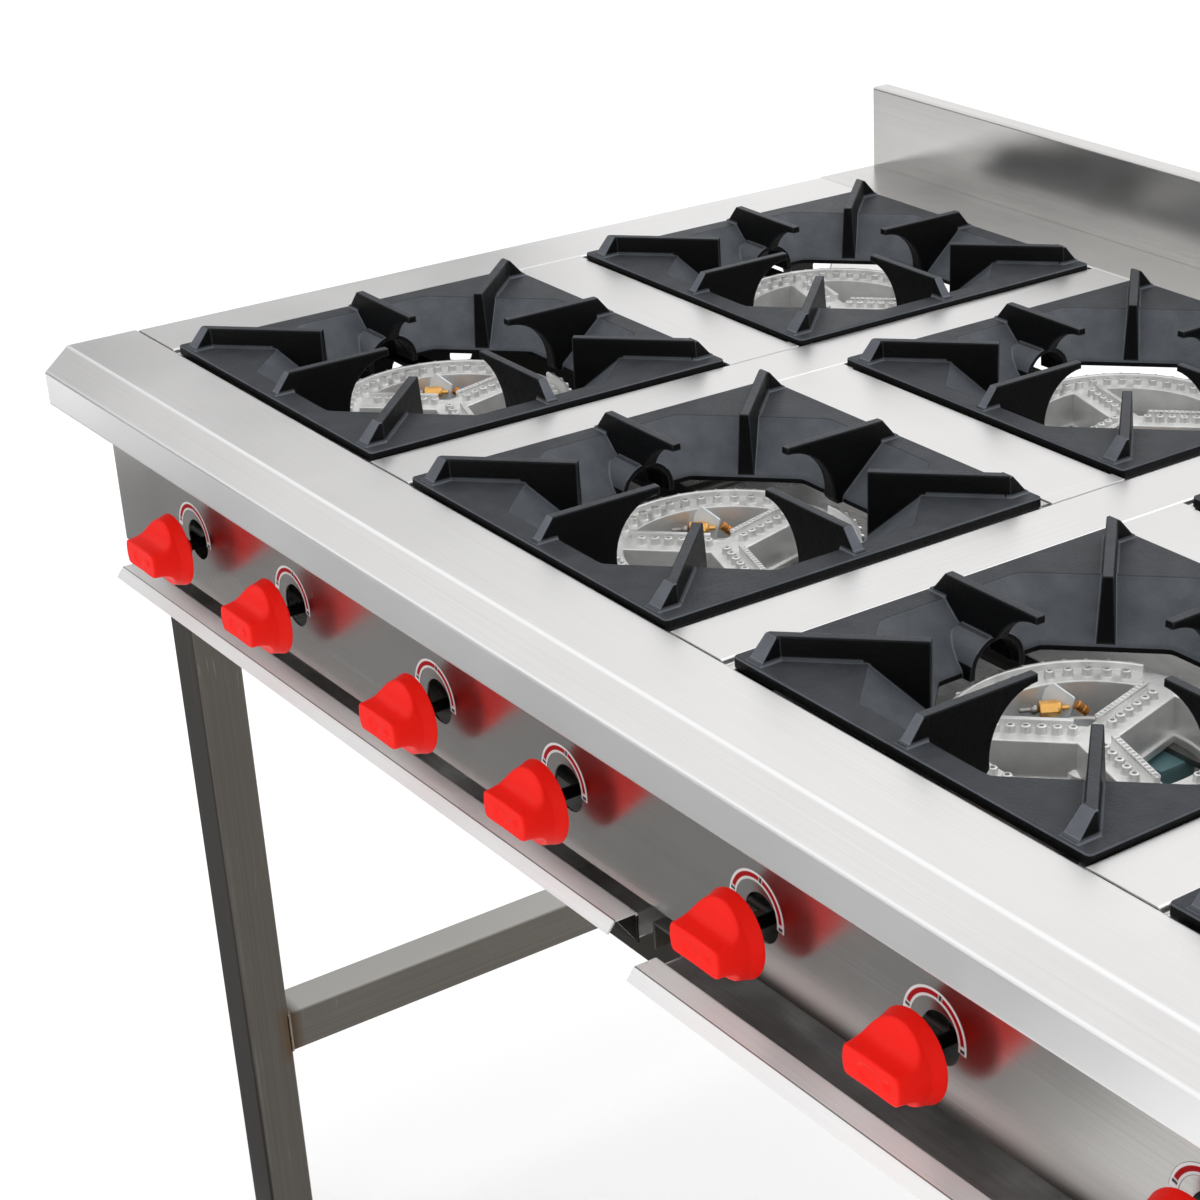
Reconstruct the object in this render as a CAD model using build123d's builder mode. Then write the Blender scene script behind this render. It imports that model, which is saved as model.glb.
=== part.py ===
from build123d import *
import math
import os

os.makedirs("parts", exist_ok=True)

# Frame: the origin is on the floor under the middle of the stove. +X is to the right of a cook
# who faces the knobs, +Y is towards the splash and +Z is up. Most places are given from three
# planes that can be measured on the object: the left side, the seam between the apron and the
# deck, and the deck's top.

# Deck
deck_height = 900.0
sheet = 1.5
columns = 4
pocket = 306.0
column_gap = 53.3
side_strip = 63.0
row_gap = 65.6
seam_gap = 0.6
column_pitch = pocket + column_gap
row_pitch = pocket + row_gap
width = 2 * side_strip + columns * pocket + (columns - 1) * column_gap
pockets_back = row_pitch + pocket
splash_front = 742.2
splash_back = 761.0
splash_height = 73.5
splash_skirt = 60.0
ledge_width = 10.0
plate_rise = 4.2
plate_thick = 8.0
ledge_depth = plate_thick - plate_rise
flange_depth = 25.0

# Front
apron_fold = 58.1
apron_lip_y = 79.1
bevel_drop = 17.3
apron_drop = 44.1
apron_hem = 12.0
panel_y = -34.2
panel_bottom = -169.5
panel_fold = 12.0
knob_shift = 78.9
knob_offset = 5.0
knob_z = -126.0
stem_hole_radius = 15.8
knob_reach = 48.0
knob_depth = 30.0
vent_radius = 11.2
vent_count = 12
vent_pitch = 56.1
vent_first = 60.3
vent_z = -83.0

# Grates
plate_side = 300.0
bowl_top = 131.5
bowl_bottom = 96.0
bowl_edge_z = -27.0
grate_bottom = -31.0
wall = 5.5
rib = 7.0
rib_top = 19.0
ridge_inner = 97.0
ridge_bend = 132.5
finger_tip = 52.0
foot_end = 147.2
foot_top = 134.5
arch_radius = 17.5
hood_wall = 4.0
hood_inner = 89.0

# Each grate rests a little off the middle of its pocket: the front row, then the back row
grate_shifts = (
    ((0.6, 0.2), (-2.2, -1.1), (2.6, 0.9), (-0.6, -0.2)),
    ((2.6, -0.9), (-2.6, 0), (0.5, 2.4), (0, 0)),
)

# Burners
ring_outer = 90.0
ring_inner = 70.0
ring_top = -33.0
ring_floor = -38.0
ring_ledge = -62.0
ring_bottom = -68.0
boss_radius = 3.3
boss_first = 13.0
boss_step = 9.1
boss_count = 6
boss_circle = 78.0
ring_boss_angle = 8.57
ring_boss_turn = 1.4
ring_boss_side = 5
flat_half_angle = 13.0
port_bar_length = 50.0
port_bar_width = 4.5
port_bar_middle = 39.0
turn_front = -15.0
turn_back = 165.0
bar_y = 72.0
bar_width = 20.0
bar_thick = 4.0
mixer_radius = 15.0
mixer_bend = 34.0

# Spokes as cast: angle, width, then how far the spoke, its bosses and its bar lie to the left
spokes = (
    (-2, 23.0, -3.0, -5.2, 5.0),
    (120, 21.5, -1.2, -2.8, 7.0),
    (240, 21.9, 0.7, 1.0, -8.0),
)

# Gas way
manifold_y = 12.0
manifold_z = -152.0
pipe_outer = 10.65
pipe_inner = 8.0
inlet_x = 1455.0
spigot_radius = 10.2
spigot_length = 20.0
stem_radius = 4.0
stem_fit = 0.05
line_radius = 5.0

# Stand
tube = 40.0
tube_wall = 1.5
leg_front_y = -8.0
leg_back_y = 711.0
leg_top = -169.5
plug_thick = 5.0
rail_top = -203.0
stretcher_top = -633.0

# Trays
tray_front_y = -33.7
tray_flange_y = -51.0
tray_lip_y = -57.0
tray_top = -179.9
tray_lip_drop = 7.5
tray_floor = -201.2
tray_front_left = 25.0
tray_front_right = 729.4
tray_box_left = 44.0
tray_box_right = 726.0
tray_back_y = 690.0
tray_2_pulled = 20.0

# Frame of the whole
front_y = panel_y - knob_reach
middle_y = (front_y + splash_back) / 2


def spot(x, y, z):
    """Point x from the left side, y behind the front seam and z above the deck's top."""
    return (x - width / 2, y - middle_y, z + deck_height)


def block(x0, x1, y0, y1, z0, z1, mode=Mode.ADD):
    """Box between two corners, each measured like spot."""
    with Locations(spot((x0 + x1) / 2, (y0 + y1) / 2, (z0 + z1) / 2)):
        Box(x1 - x0, y1 - y0, z1 - z0, mode=mode)


def across(x):
    """Upright plane square to X, seen from the right, with local x along +Y and local y up."""
    return Plane(origin=spot(x, 0, 0), x_dir=(0, 1, 0), z_dir=(1, 0, 0))


def along(y):
    """Upright plane square to Y, seen from the front, with local x along +X and local y up."""
    return Plane(origin=spot(0, y, 0), x_dir=(1, 0, 0), z_dir=(0, -1, 0))


def bent_sheet(points):
    """Section of a sheet that is folded along the points, its thickness on their left."""
    with BuildLine() as path:
        Polyline(*points)
        offset(amount=sheet, side=Side.LEFT)
    make_face(path.edges())


def column_x(column):
    """Middle of a column of burners, counted from 0 at the left."""
    return side_strip + pocket / 2 + column * column_pitch


def row_y(row):
    """Middle of a row of burners, 0 in front and 1 behind."""
    return pocket / 2 + row * row_pitch


places = [(column, row) for row in (0, 1) for column in range(columns)]
row_names = ("front", "back")


def knob_x(index):
    """Middle of a knob, counted from 0 at the left, two to each column."""
    side = -1 if index % 2 == 0 else 1
    return column_x(index // 2) + side * knob_shift + knob_offset


# Apron: one folded sheet over the front edge, with a plate in each end
with BuildPart() as apron:
    profile = [
        (-apron_lip_y + apron_hem, -apron_drop),
        (-apron_lip_y, -apron_drop),
        (-apron_lip_y, -bevel_drop),
        (-apron_fold, 0),
        (0, 0),
        (0, -flange_depth),
    ]
    with BuildSketch(across(0)):
        bent_sheet(profile[::-1])
    extrude(amount=width)
    for x in (0, width - sheet):
        with BuildSketch(across(x)):
            Polygon(
                (-apron_lip_y + sheet, -apron_drop + sheet),
                (-apron_lip_y + sheet, -bevel_drop - sheet),
                (-apron_fold + sheet, -sheet),
                (panel_y, -sheet),
                (panel_y, -apron_drop + sheet),
                align=None,
            )
        extrude(amount=sheet)
        block(x, x + sheet, -sheet, 0, -flange_depth, -sheet, mode=Mode.SUBTRACT)
apron.part.label = "apron"
export_step(apron.part, "parts/apron.step")

# Control panel: flat front sheet with a folded lower edge and eight holes for the stems
with BuildPart() as control_panel:
    with BuildSketch(across(0)):
        bent_sheet([(panel_y, -sheet), (panel_y, panel_bottom), (panel_y + panel_fold, panel_bottom)])
    extrude(amount=width)
    with BuildSketch(along(panel_y - sheet)):
        for index in range(2 * columns):
            with Locations((knob_x(index), knob_z + 3)):
                Circle(stem_hole_radius)
    extrude(amount=-3 * sheet, mode=Mode.SUBTRACT)
    for x in (0, width - sheet):
        block(x, x + sheet, panel_y + sheet, 0, panel_bottom, panel_bottom + sheet, mode=Mode.SUBTRACT)
control_panel.part.label = "control_panel"
export_step(control_panel.part, "parts/control_panel.step")

# Left side: one sheet from the pocket's ledge over the deck and down the side, with vent holes
with BuildPart() as side_left:
    with BuildSketch(along(seam_gap)):
        bent_sheet(
            [
                (side_strip + ledge_width, -flange_depth),
                (side_strip + ledge_width, -ledge_depth),
                (side_strip, -ledge_depth),
                (side_strip, 0),
                (0, 0),
                (0, -flange_depth),
            ]
        )
    extrude(amount=-(pockets_back - 2 * seam_gap))
    block(0, sheet, panel_y + sheet, splash_back - sheet, panel_bottom, -sheet)
    block(0, 20, leg_front_y + tube, leg_back_y, panel_bottom, panel_bottom + sheet)
    with BuildSketch(across(-sheet)):
        for index in range(vent_count):
            with Locations((vent_first + index * vent_pitch, vent_z)):
                Circle(vent_radius)
    extrude(amount=3 * sheet, mode=Mode.SUBTRACT)
side_left.part.label = "side_left"
export_step(side_left.part, "parts/side_left.step")

# Right side: the left one mirrored
with BuildPart() as side_right:
    mirror(side_left.part, about=Plane.YZ)
side_right.part.label = "side_right"
export_step(side_right.part, "parts/side_right.step")

# Dividers: hat-shaped strips between the columns, with a ledge along each side
with BuildPart() as dividers:
    half = column_gap / 2
    for gap in range(columns - 1):
        middle = column_x(gap) + column_pitch / 2
        with BuildSketch(along(seam_gap)):
            bent_sheet(
                [
                    (middle + half + ledge_width, -flange_depth),
                    (middle + half + ledge_width, -ledge_depth),
                    (middle + half, -ledge_depth),
                    (middle + half, 0),
                    (middle - half, 0),
                    (middle - half, -ledge_depth),
                    (middle - half - ledge_width, -ledge_depth),
                    (middle - half - ledge_width, -flange_depth),
                ]
            )
        extrude(amount=-(pockets_back - 2 * seam_gap))
dividers.part.label = "dividers"
export_step(dividers.part, "parts/dividers.step")

# Bridge plates: one between the two pockets of each column, stiffened by two flanges
with BuildPart() as bridge_plates:
    inset = ledge_width + 2 * sheet
    for column in range(columns):
        left = column_x(column) - pocket / 2
        right = left + pocket
        block(left, right, pocket, row_pitch, -sheet, 0)
        block(left + inset, right - inset, pocket, pocket + sheet, -flange_depth, -sheet)
        block(left + inset, right - inset, row_pitch - sheet, row_pitch, -flange_depth, -sheet)
bridge_plates.part.label = "bridge_plates"
export_step(bridge_plates.part, "parts/bridge_plates.step")

# Rear strip: folded down at the pockets and butted against the splash
with BuildPart() as rear_strip:
    with BuildSketch(across(sheet)):
        bent_sheet([(splash_front, 0), (pockets_back, 0), (pockets_back, -flange_depth)])
    extrude(amount=width - 2 * sheet)
    block(0, width, pockets_back, splash_front, -sheet, 0)
rear_strip.part.label = "rear_strip"
export_step(rear_strip.part, "parts/rear_strip.step")

# Backsplash: folded up, back and down again into the short rear skirt, closed at both ends
with BuildPart() as backsplash:
    with BuildSketch(across(0)):
        bent_sheet(
            [
                (splash_back, -splash_skirt),
                (splash_back, splash_height),
                (splash_front, splash_height),
                (splash_front, 0),
            ]
        )
    extrude(amount=width)
    for x in (0, width - sheet):
        block(x, x + sheet, splash_front + sheet, splash_back - sheet, 0, splash_height - sheet)
backsplash.part.label = "backsplash"
export_step(backsplash.part, "parts/backsplash.step")


def upright(angle):
    """Upright plane through the grate's or burner's axis, with local x outwards at the angle."""
    turn = math.radians(angle)
    return Plane(
        origin=(0, 0, 0),
        x_dir=(math.cos(turn), math.sin(turn), 0),
        z_dir=(math.sin(turn), -math.cos(turn), 0),
    )


def octagon(apothem):
    """Eight-sided outline with flats across X and Y, given by half its width over flats."""
    RegularPolygon(apothem, 8, major_radius=False, rotation=22.5)


# Space inside the grate's bowl, less the hood over the arch in its left wall
with BuildPart() as bowl_space:
    with BuildSketch(Plane.XY.offset(plate_rise)):
        octagon(bowl_top)
    with BuildSketch(Plane.XY.offset(bowl_edge_z)):
        octagon(bowl_bottom)
    loft()
    with BuildSketch(Plane.XY.offset(bowl_edge_z)):
        octagon(bowl_bottom)
    extrude(amount=grate_bottom - bowl_edge_z - 1)
    with BuildSketch(Plane(origin=(-hood_inner, 0, 0), x_dir=(0, 1, 0), z_dir=(1, 0, 0))):
        with Locations((0, bowl_edge_z)):
            Circle(arch_radius + hood_wall)
        with Locations((0, bowl_edge_z - 5)):
            Rectangle(2 * (arch_radius + hood_wall), 10)
    extrude(amount=-60, mode=Mode.SUBTRACT)

# Grate: square plate with an eight-sided bowl, four fingers and corner ridges with turned feet
with BuildPart() as grate_shape:
    with BuildSketch(Plane.XY.offset(plate_rise - plate_thick)):
        RectangleRounded(plate_side, plate_side, 3)
    extrude(amount=plate_thick)
    with BuildSketch(Plane.XY.offset(plate_rise - plate_thick)):
        octagon(bowl_top + wall)
    with BuildSketch(Plane.XY.offset(bowl_edge_z)):
        octagon(bowl_bottom + wall)
    loft()
    with BuildSketch(Plane.XY.offset(bowl_edge_z)):
        octagon(bowl_bottom + wall)
    extrude(amount=grate_bottom - bowl_edge_z)
    add(bowl_space.part, mode=Mode.SUBTRACT)
    slant = rib / math.sqrt(2)
    ridge_end = (2 * ridge_bend - slant) / math.sqrt(2)
    for angle in (45, 135, 225, 315):
        with BuildSketch(upright(angle)):
            Polygon(
                (ridge_inner, rib_top),
                (ridge_end, rib_top),
                (ridge_end, 0),
                (bowl_top + 2, 0),
                (bowl_bottom + 4, bowl_edge_z),
                (ridge_inner, bowl_edge_z),
                align=None,
            )
        extrude(amount=rib / 2, both=True)
    for side_x in (-1, 1):
        for side_y in (-1, 1):
            outline = [
                (ridge_bend - slant, ridge_bend),
                (ridge_bend, ridge_bend - slant),
                (ridge_bend + slant, ridge_bend),
                (ridge_bend + slant, foot_end),
                (ridge_bend - slant, foot_end),
            ]
            with BuildSketch():
                Polygon(*[(side_x * x, side_y * y) for x, y in outline], align=None)
            extrude(amount=rib_top)
            slope = [
                (foot_top, rib_top),
                (foot_end, plate_rise),
                (foot_end + 2, plate_rise),
                (foot_end + 2, rib_top + 1),
                (foot_top, rib_top + 1),
            ]
            with BuildSketch(Plane.YZ.offset(side_x * ridge_bend)):
                Polygon(*[(side_y * y, z) for y, z in slope], align=None)
            extrude(amount=slant + 1, both=True, mode=Mode.SUBTRACT)
    for angle in (0, 90, 180, 270):
        with BuildSketch(upright(angle)):
            with BuildLine():
                under = Line((finger_tip, rib_top), (finger_tip, rib_top - 5))
                curve = ThreePointArc(under @ 1, (78, 3.5), (90, bowl_edge_z))
                Polyline(
                    curve @ 1,
                    (bowl_bottom - 3, grate_bottom),
                    (bowl_bottom + 3, grate_bottom),
                    (bowl_bottom + 3, bowl_edge_z),
                    (bowl_top + 2, 0),
                    (foot_end, 0),
                    (foot_end, plate_rise),
                    (foot_top, rib_top),
                    (finger_tip, rib_top),
                )
            make_face()
        extrude(amount=rib / 2, both=True)
    with BuildSketch(Plane(origin=(-hood_inner + 12, 0, 0), x_dir=(0, 1, 0), z_dir=(1, 0, 0))):
        with Locations((0, bowl_edge_z)):
            Circle(arch_radius)
        with Locations((0, bowl_edge_z - 10)):
            Rectangle(2 * arch_radius, 20)
    extrude(amount=-60, mode=Mode.SUBTRACT)

for column, row in places:
    shift_x, shift_y = grate_shifts[row][column]
    with BuildPart(Plane(origin=spot(column_x(column) + shift_x, row_y(row) + shift_y, 0))) as grate:
        add(grate_shape.part)
    name = f"grate_{row_names[row]}_{column + 1}"
    grate.part.label = name
    export_step(grate.part, f"parts/{name}.step")


def spoke_spot(angle, distance, sideways):
    """Place beside a spoke's middle line, sideways to the left as seen from the hub."""
    turn = math.radians(angle)
    return (
        distance * math.cos(turn) - sideways * math.sin(turn),
        distance * math.sin(turn) + sideways * math.cos(turn),
    )


# Burner: cast ring with three spokes, port bosses, a broken rim and a wider lower half
with BuildPart() as burner_shape:
    for base, height, grow in ((ring_bottom, ring_ledge - ring_bottom, 2), (ring_ledge, ring_floor - ring_ledge, 0)):
        with BuildSketch(Plane.XY.offset(base)):
            Circle(ring_outer)
            Circle(ring_inner - grow, mode=Mode.SUBTRACT)
            for angle, spoke_width, middle, _, _ in spokes:
                with Locations(Location(spoke_spot(angle, ring_inner / 2, middle) + (0,), (0, 0, angle))):
                    Rectangle(ring_inner + 6, spoke_width + 2 * grow)
        extrude(amount=height)
    with BuildSketch(Plane.XY.offset(ring_bottom)):
        Circle(mixer_radius + 4)
    extrude(amount=ring_ledge - ring_bottom + 6)
    with BuildSketch(Plane.XY.offset(ring_floor)):
        Circle(ring_outer)
        Circle(ring_outer - 3, mode=Mode.SUBTRACT)
        corner = ring_outer * 1.2
        spread = math.radians(flat_half_angle)
        for sector in range(3):
            with Locations(Location((0, 0, 0), (0, 0, 120 * sector))):
                Polygon(
                    (0, 0),
                    (corner, -corner * math.tan(spread)),
                    (corner, corner * math.tan(spread)),
                    align=None,
                    mode=Mode.SUBTRACT,
                )
        for angle, _, _, boss_side, bar_side in spokes:
            with Locations(Location(spoke_spot(angle, port_bar_middle, bar_side) + (0,), (0, 0, angle))):
                Rectangle(port_bar_length, port_bar_width)
            distances = [boss_first + boss_step * count for count in range(boss_count)]
            with Locations(*[spoke_spot(angle, distance, boss_side) for distance in distances]):
                Circle(boss_radius)
        for sector in range(3):
            for step in range(-ring_boss_side, ring_boss_side + 1):
                angle = 60 + 120 * sector + ring_boss_turn + step * ring_boss_angle
                with Locations(spoke_spot(angle, boss_circle, 0)):
                    Circle(boss_radius)
    extrude(amount=ring_top - ring_floor)
    with Locations((0, 0, ring_bottom)):
        Cylinder(mixer_radius - 4, 14, align=(Align.CENTER, Align.CENTER, Align.MIN), mode=Mode.SUBTRACT)

for column, row in places:
    with BuildPart(Plane(origin=spot(column_x(column), row_y(row), 0))) as burner:
        add(burner_shape.part, rotation=(0, 0, turn_back if row else turn_front))
    name = f"burner_{row_names[row]}_{column + 1}"
    burner.part.label = name
    export_step(burner.part, f"parts/{name}.step")

# Bars: flat steel from side to side, two under each row of burners
with BuildPart() as burner_bars:
    for row in (0, 1):
        for side in (-1, 1):
            y = row_y(row) + side * bar_y
            block(sheet, width - sheet, y - bar_width / 2, y + bar_width / 2, ring_bottom - bar_thick, ring_bottom)
burner_bars.part.label = "burner_bars"
export_step(burner_bars.part, "parts/burner_bars.step")

# Mixing tubes: cast elbows from the gas jets up to the middle of each burner
mixer_mouth = 62.0
with BuildPart() as mixing_tubes:
    for column, row in places:
        x, y = column_x(column), row_y(row)
        with BuildLine():
            FilletPolyline(
                spot(x, y - mixer_mouth, knob_z), spot(x, y, knob_z), spot(x, y, ring_bottom), radius=mixer_bend
            )
        with BuildSketch(along(y - mixer_mouth)):
            with Locations((x, knob_z)):
                Circle(mixer_radius)
                Circle(mixer_radius - 4, mode=Mode.SUBTRACT)
        sweep()
mixing_tubes.part.label = "mixing_tubes"
export_step(mixing_tubes.part, "parts/mixing_tubes.step")

# Injectors: brass jets that point into the mouths of the mixing tubes
jet_gap = 10.0
jet_length = 14.0
with BuildPart() as injectors:
    for column, row in places:
        x, y = column_x(column), row_y(row) - mixer_mouth - jet_gap
        with BuildSketch(along(y)):
            with Locations((x, knob_z)):
                RegularPolygon(8, 6)
        extrude(amount=jet_length)
        with BuildSketch(along(y)):
            with Locations((x, knob_z)):
                Circle(4)
        extrude(amount=-6)
injectors.part.label = "injectors"
export_step(injectors.part, "parts/injectors.step")

# Gas lines: thin pipes from the back of each valve to its jet, past the front burners
valve_back = 40.0
side_run = 45.0
with BuildPart() as gas_lines:
    for column, row in places:
        x = column_x(column)
        start_x = knob_x(2 * column + row)
        end_y = row_y(row) - mixer_mouth - jet_gap - jet_length
        turn_y = end_y - (side_run if row else 18)
        bend = 12 if row else 8
        with BuildLine():
            FilletPolyline(
                spot(start_x, valve_back, knob_z),
                spot(start_x, turn_y, knob_z),
                spot(x, turn_y, knob_z),
                spot(x, end_y, knob_z),
                radius=bend,
            )
        with BuildSketch(along(valve_back)):
            with Locations((start_x, knob_z)):
                Circle(line_radius)
        sweep()
gas_lines.part.label = "gas_lines"
export_step(gas_lines.part, "parts/gas_lines.step")

# Manifold: pipe behind the panel, capped against the left side, that turns back to a turned inlet
pipe_bend = 30.0
pipe_start = 24.0
with BuildPart() as gas_manifold:
    with BuildLine():
        FilletPolyline(
            spot(pipe_start, manifold_y, manifold_z),
            spot(inlet_x, manifold_y, manifold_z),
            spot(inlet_x, splash_back - 4, manifold_z),
            radius=pipe_bend,
        )
    with BuildSketch(across(pipe_start)):
        with Locations((manifold_y, manifold_z)):
            Circle(pipe_outer)
            Circle(pipe_inner, mode=Mode.SUBTRACT)
    sweep()
    with BuildSketch(across(sheet)):
        with Locations((manifold_y, manifold_z)):
            RegularPolygon(pipe_outer + 4, 6)
    extrude(amount=pipe_start - sheet)
    with BuildSketch(along(splash_back - 4 - spigot_length)):
        with Locations((inlet_x, manifold_z)):
            Circle(pipe_outer + 1)
            Circle(spigot_radius, mode=Mode.SUBTRACT)
    extrude(amount=-spigot_length, mode=Mode.SUBTRACT)
gas_manifold.part.label = "gas_manifold"
export_step(gas_manifold.part, "parts/gas_manifold.step")

# Valves: brass cocks, each a body on a nipple with a neck round its stem
valve_front = -20.0
stem_inner = 5.0
with BuildPart() as valves:
    for index in range(2 * columns):
        x = knob_x(index)
        block(x - 12, x + 12, -2, valve_back - 12, knob_z - 14, knob_z + 12)
        with BuildSketch(along(valve_front)):
            with Locations((x, knob_z)):
                Circle(9)
        extrude(amount=-20)
        with BuildSketch(along(valve_back - 14)):
            with Locations((x, knob_z)):
                RegularPolygon(9, 6)
        extrude(amount=-14)
        with Locations(spot(x, manifold_y, knob_z - 14)):
            Cylinder(7, 4, align=(Align.CENTER, Align.CENTER, Align.MAX))
        with BuildSketch(along(valve_front)):
            with Locations((x, knob_z)):
                Circle(stem_radius + stem_fit)
        extrude(amount=valve_front - stem_inner - 5, mode=Mode.SUBTRACT)
    with BuildSketch(across(0)):
        with Locations((manifold_y, manifold_z)):
            Circle(pipe_outer)
    extrude(amount=width, mode=Mode.SUBTRACT)
valves.part.label = "valves"
export_step(valves.part, "parts/valves.step")

# Stems: steel pins that slide in the valves and carry the knobs
stem_outer = panel_y - knob_reach + knob_depth - 14
for index in range(2 * columns):
    with BuildPart() as stem:
        with BuildSketch(along(stem_outer)):
            with Locations((knob_x(index), knob_z)):
                Circle(stem_radius)
        extrude(amount=stem_outer - stem_inner)
    name = f"stem_{index + 1}"
    stem.part.label = name
    export_step(stem.part, f"parts/{name}.step")

# Knob: round skirt with a hub behind it, scooped above and below into a straight grip
skirt_radius = 28.2
skirt_edge = 25.5
grip_radius = 23.6
hub_radius = 8.5
hub_reach = 8.5
bore_depth = 16.0
scoop_line = ((9.4, 26), (9.9, 22), (12.5, 16.5), (18.5, 12.5), (26, 9.9))
with BuildPart() as knob_shape:
    with BuildSketch(Plane.XZ):
        with BuildLine():
            Polyline(
                (0, knob_depth),
                (grip_radius, knob_depth),
                (skirt_edge, 9),
                (skirt_radius, 0),
                (skirt_radius - 3, 0),
                (skirt_radius - 5.2, 5),
                (hub_radius, 8),
                (hub_radius, -hub_reach),
                (0, -hub_reach),
                close=True,
            )
        make_face()
    revolve(axis=Axis.Z)
    for side in (-1, 1):
        with BuildSketch(Plane.YZ.offset(-30)):
            with BuildLine():
                grip = Line((side * 9.1, knob_depth + 1), (side * 9.4, 26))
                scoop = Spline(*[(side * half, depth) for half, depth in scoop_line])
                Polyline(scoop @ 1, (side * 32, 9.9), (side * 32, knob_depth + 1), grip @ 0)
            make_face()
        extrude(amount=60, mode=Mode.SUBTRACT)
    with Locations((0, 0, -hub_reach)):
        Cylinder(
            stem_radius + stem_fit,
            hub_reach + bore_depth,
            align=(Align.CENTER, Align.CENTER, Align.MIN),
            mode=Mode.SUBTRACT,
        )

for index in range(2 * columns):
    back = spot(knob_x(index), panel_y - knob_reach + knob_depth, knob_z)
    with BuildPart(Plane(origin=back, x_dir=(1, 0, 0), z_dir=(0, -1, 0))) as knob:
        add(knob_shape.part)
    name = f"knob_{index + 1}"
    knob.part.label = name
    export_step(knob.part, f"parts/{name}.step")

# Pilot brackets: a bright shield plate beside each hub, on an arm under the nearer bar
plate_top = (-58.5, 19.9, -33.5)
plate_facing = -60.0
plate_low = -72.0
pilot_nut = (-54.6, 13.7, -47.0)
pilot_facing = 59.0
pilot_core = 3.5
arm_left = -64.0
arm_right = -46.0
arm_front = 16.0


def pilot_plane(column, row, place, facing):
    """Upright plane at a place beside a hub that faces an angle, turned half round in the back row."""
    sign = -1 if row else 1
    turn = math.radians(facing)
    return Plane(
        origin=spot(column_x(column) + sign * place[0], row_y(row) + sign * place[1], place[2]),
        x_dir=(-sign * math.sin(turn), sign * math.cos(turn), 0),
        z_dir=(sign * math.cos(turn), sign * math.sin(turn), 0),
    )


with BuildPart() as pilot_brackets:
    for column, row in places:
        low = plate_low - plate_top[2]
        with BuildSketch(pilot_plane(column, row, plate_top, plate_facing)):
            Polygon(
                (0, 0), (13.7, -7.8), (10.4, -22.9), (9, low), (-4, low), (-7.5, -15.1), (-5.3, -5.4), align=None
            )
        extrude(amount=-sheet)
        with BuildSketch(pilot_plane(column, row, pilot_nut, pilot_facing)):
            Circle(pilot_core)
        extrude(amount=25, mode=Mode.SUBTRACT)
        sign = -1 if row else 1
        arm_x = sorted(column_x(column) + sign * x for x in (arm_left, arm_right))
        arm_y = sorted(row_y(row) + sign * y for y in (arm_front, bar_y + 5))
        block(*arm_x, *arm_y, plate_low - sheet, plate_low)
pilot_brackets.part.label = "pilot_brackets"
export_step(pilot_brackets.part, "parts/pilot_brackets.step")

# Pilot burners: a brass nut before the plate with a thin tip, and a collar behind the plate's edge
with BuildPart() as pilot_burners:
    for column, row in places:
        plane = pilot_plane(column, row, pilot_nut, pilot_facing)
        with BuildSketch(plane.offset(-18.5)):
            Circle(1.6)
        extrude(amount=13)
        with BuildSketch(plane.offset(-6.2)):
            RegularPolygon(5.2, 6)
        extrude(amount=12.4)
        with BuildSketch(plane.offset(6.2)):
            Circle(pilot_core)
        extrude(amount=11)
        with BuildSketch(plane.offset(17)):
            Circle(4.6)
        extrude(amount=12)
pilot_burners.part.label = "pilot_burners"
export_step(pilot_burners.part, "parts/pilot_burners.step")

# Spark box: hangs from the rear bar of the third front burner
with BuildPart() as spark_box:
    x, y = column_x(2), row_y(0)
    top = ring_bottom - bar_thick
    block(x - 7, x + 12, y + 42, y + 73, top - 22, top)
    fillet(spark_box.edges().filter_by(Axis.Z), 2)
spark_box.part.label = "spark_box"
export_step(spark_box.part, "parts/spark_box.step")

# Legs: square tubes at the four corners, open at both ends
for side, left in (("left", 0), ("right", width - tube)):
    for end, front in (("front", leg_front_y), ("back", leg_back_y)):
        with BuildPart() as leg:
            low = plug_thick - deck_height
            block(left, left + tube, front, front + tube, low, leg_top)
            fillet(leg.edges().filter_by(Axis.Z), 1)
            inner = (left + tube_wall, left + tube - tube_wall, front + tube_wall, front + tube - tube_wall)
            block(*inner, low, leg_top, mode=Mode.SUBTRACT)
        name = f"leg_{end}_{side}"
        leg.part.label = name
        export_step(leg.part, f"parts/{name}.step")

# Foot plugs: plastic plates with a shank in the end of each leg
with BuildPart() as foot_plugs:
    for left in (0, width - tube):
        for front in (leg_front_y, leg_back_y):
            block(left, left + tube, front, front + tube, -deck_height, plug_thick - deck_height)
            rim = tube_wall + 0.2
            block(
                left + rim,
                left + tube - rim,
                front + rim,
                front + tube - rim,
                plug_thick - deck_height,
                25 - deck_height,
            )
foot_plugs.part.label = "foot_plugs"
export_step(foot_plugs.part, "parts/foot_plugs.step")

# Long rails: tubes between the legs under the trays, front and back
with BuildPart() as long_rails:
    for front in (leg_front_y, leg_back_y):
        block(tube, width - tube, front, front + tube, rail_top - tube, rail_top)
        block(
            tube,
            width - tube,
            front + tube_wall,
            front + tube - tube_wall,
            rail_top - tube + tube_wall,
            rail_top - tube_wall,
            mode=Mode.SUBTRACT,
        )
long_rails.part.label = "long_rails"
export_step(long_rails.part, "parts/long_rails.step")


def side_tube(left, top):
    """Square tube from the front leg to the back leg."""
    front = leg_front_y + tube
    block(left, left + tube, front, leg_back_y, top - tube, top)
    inner = (left + tube_wall, left + tube - tube_wall, front, leg_back_y, top - tube + tube_wall, top - tube_wall)
    block(*inner, mode=Mode.SUBTRACT)


# Side rails: tubes under the casing's sides
with BuildPart() as side_rails:
    for left in (0, width - tube):
        side_tube(left, leg_top)
side_rails.part.label = "side_rails"
export_step(side_rails.part, "parts/side_rails.step")

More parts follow.
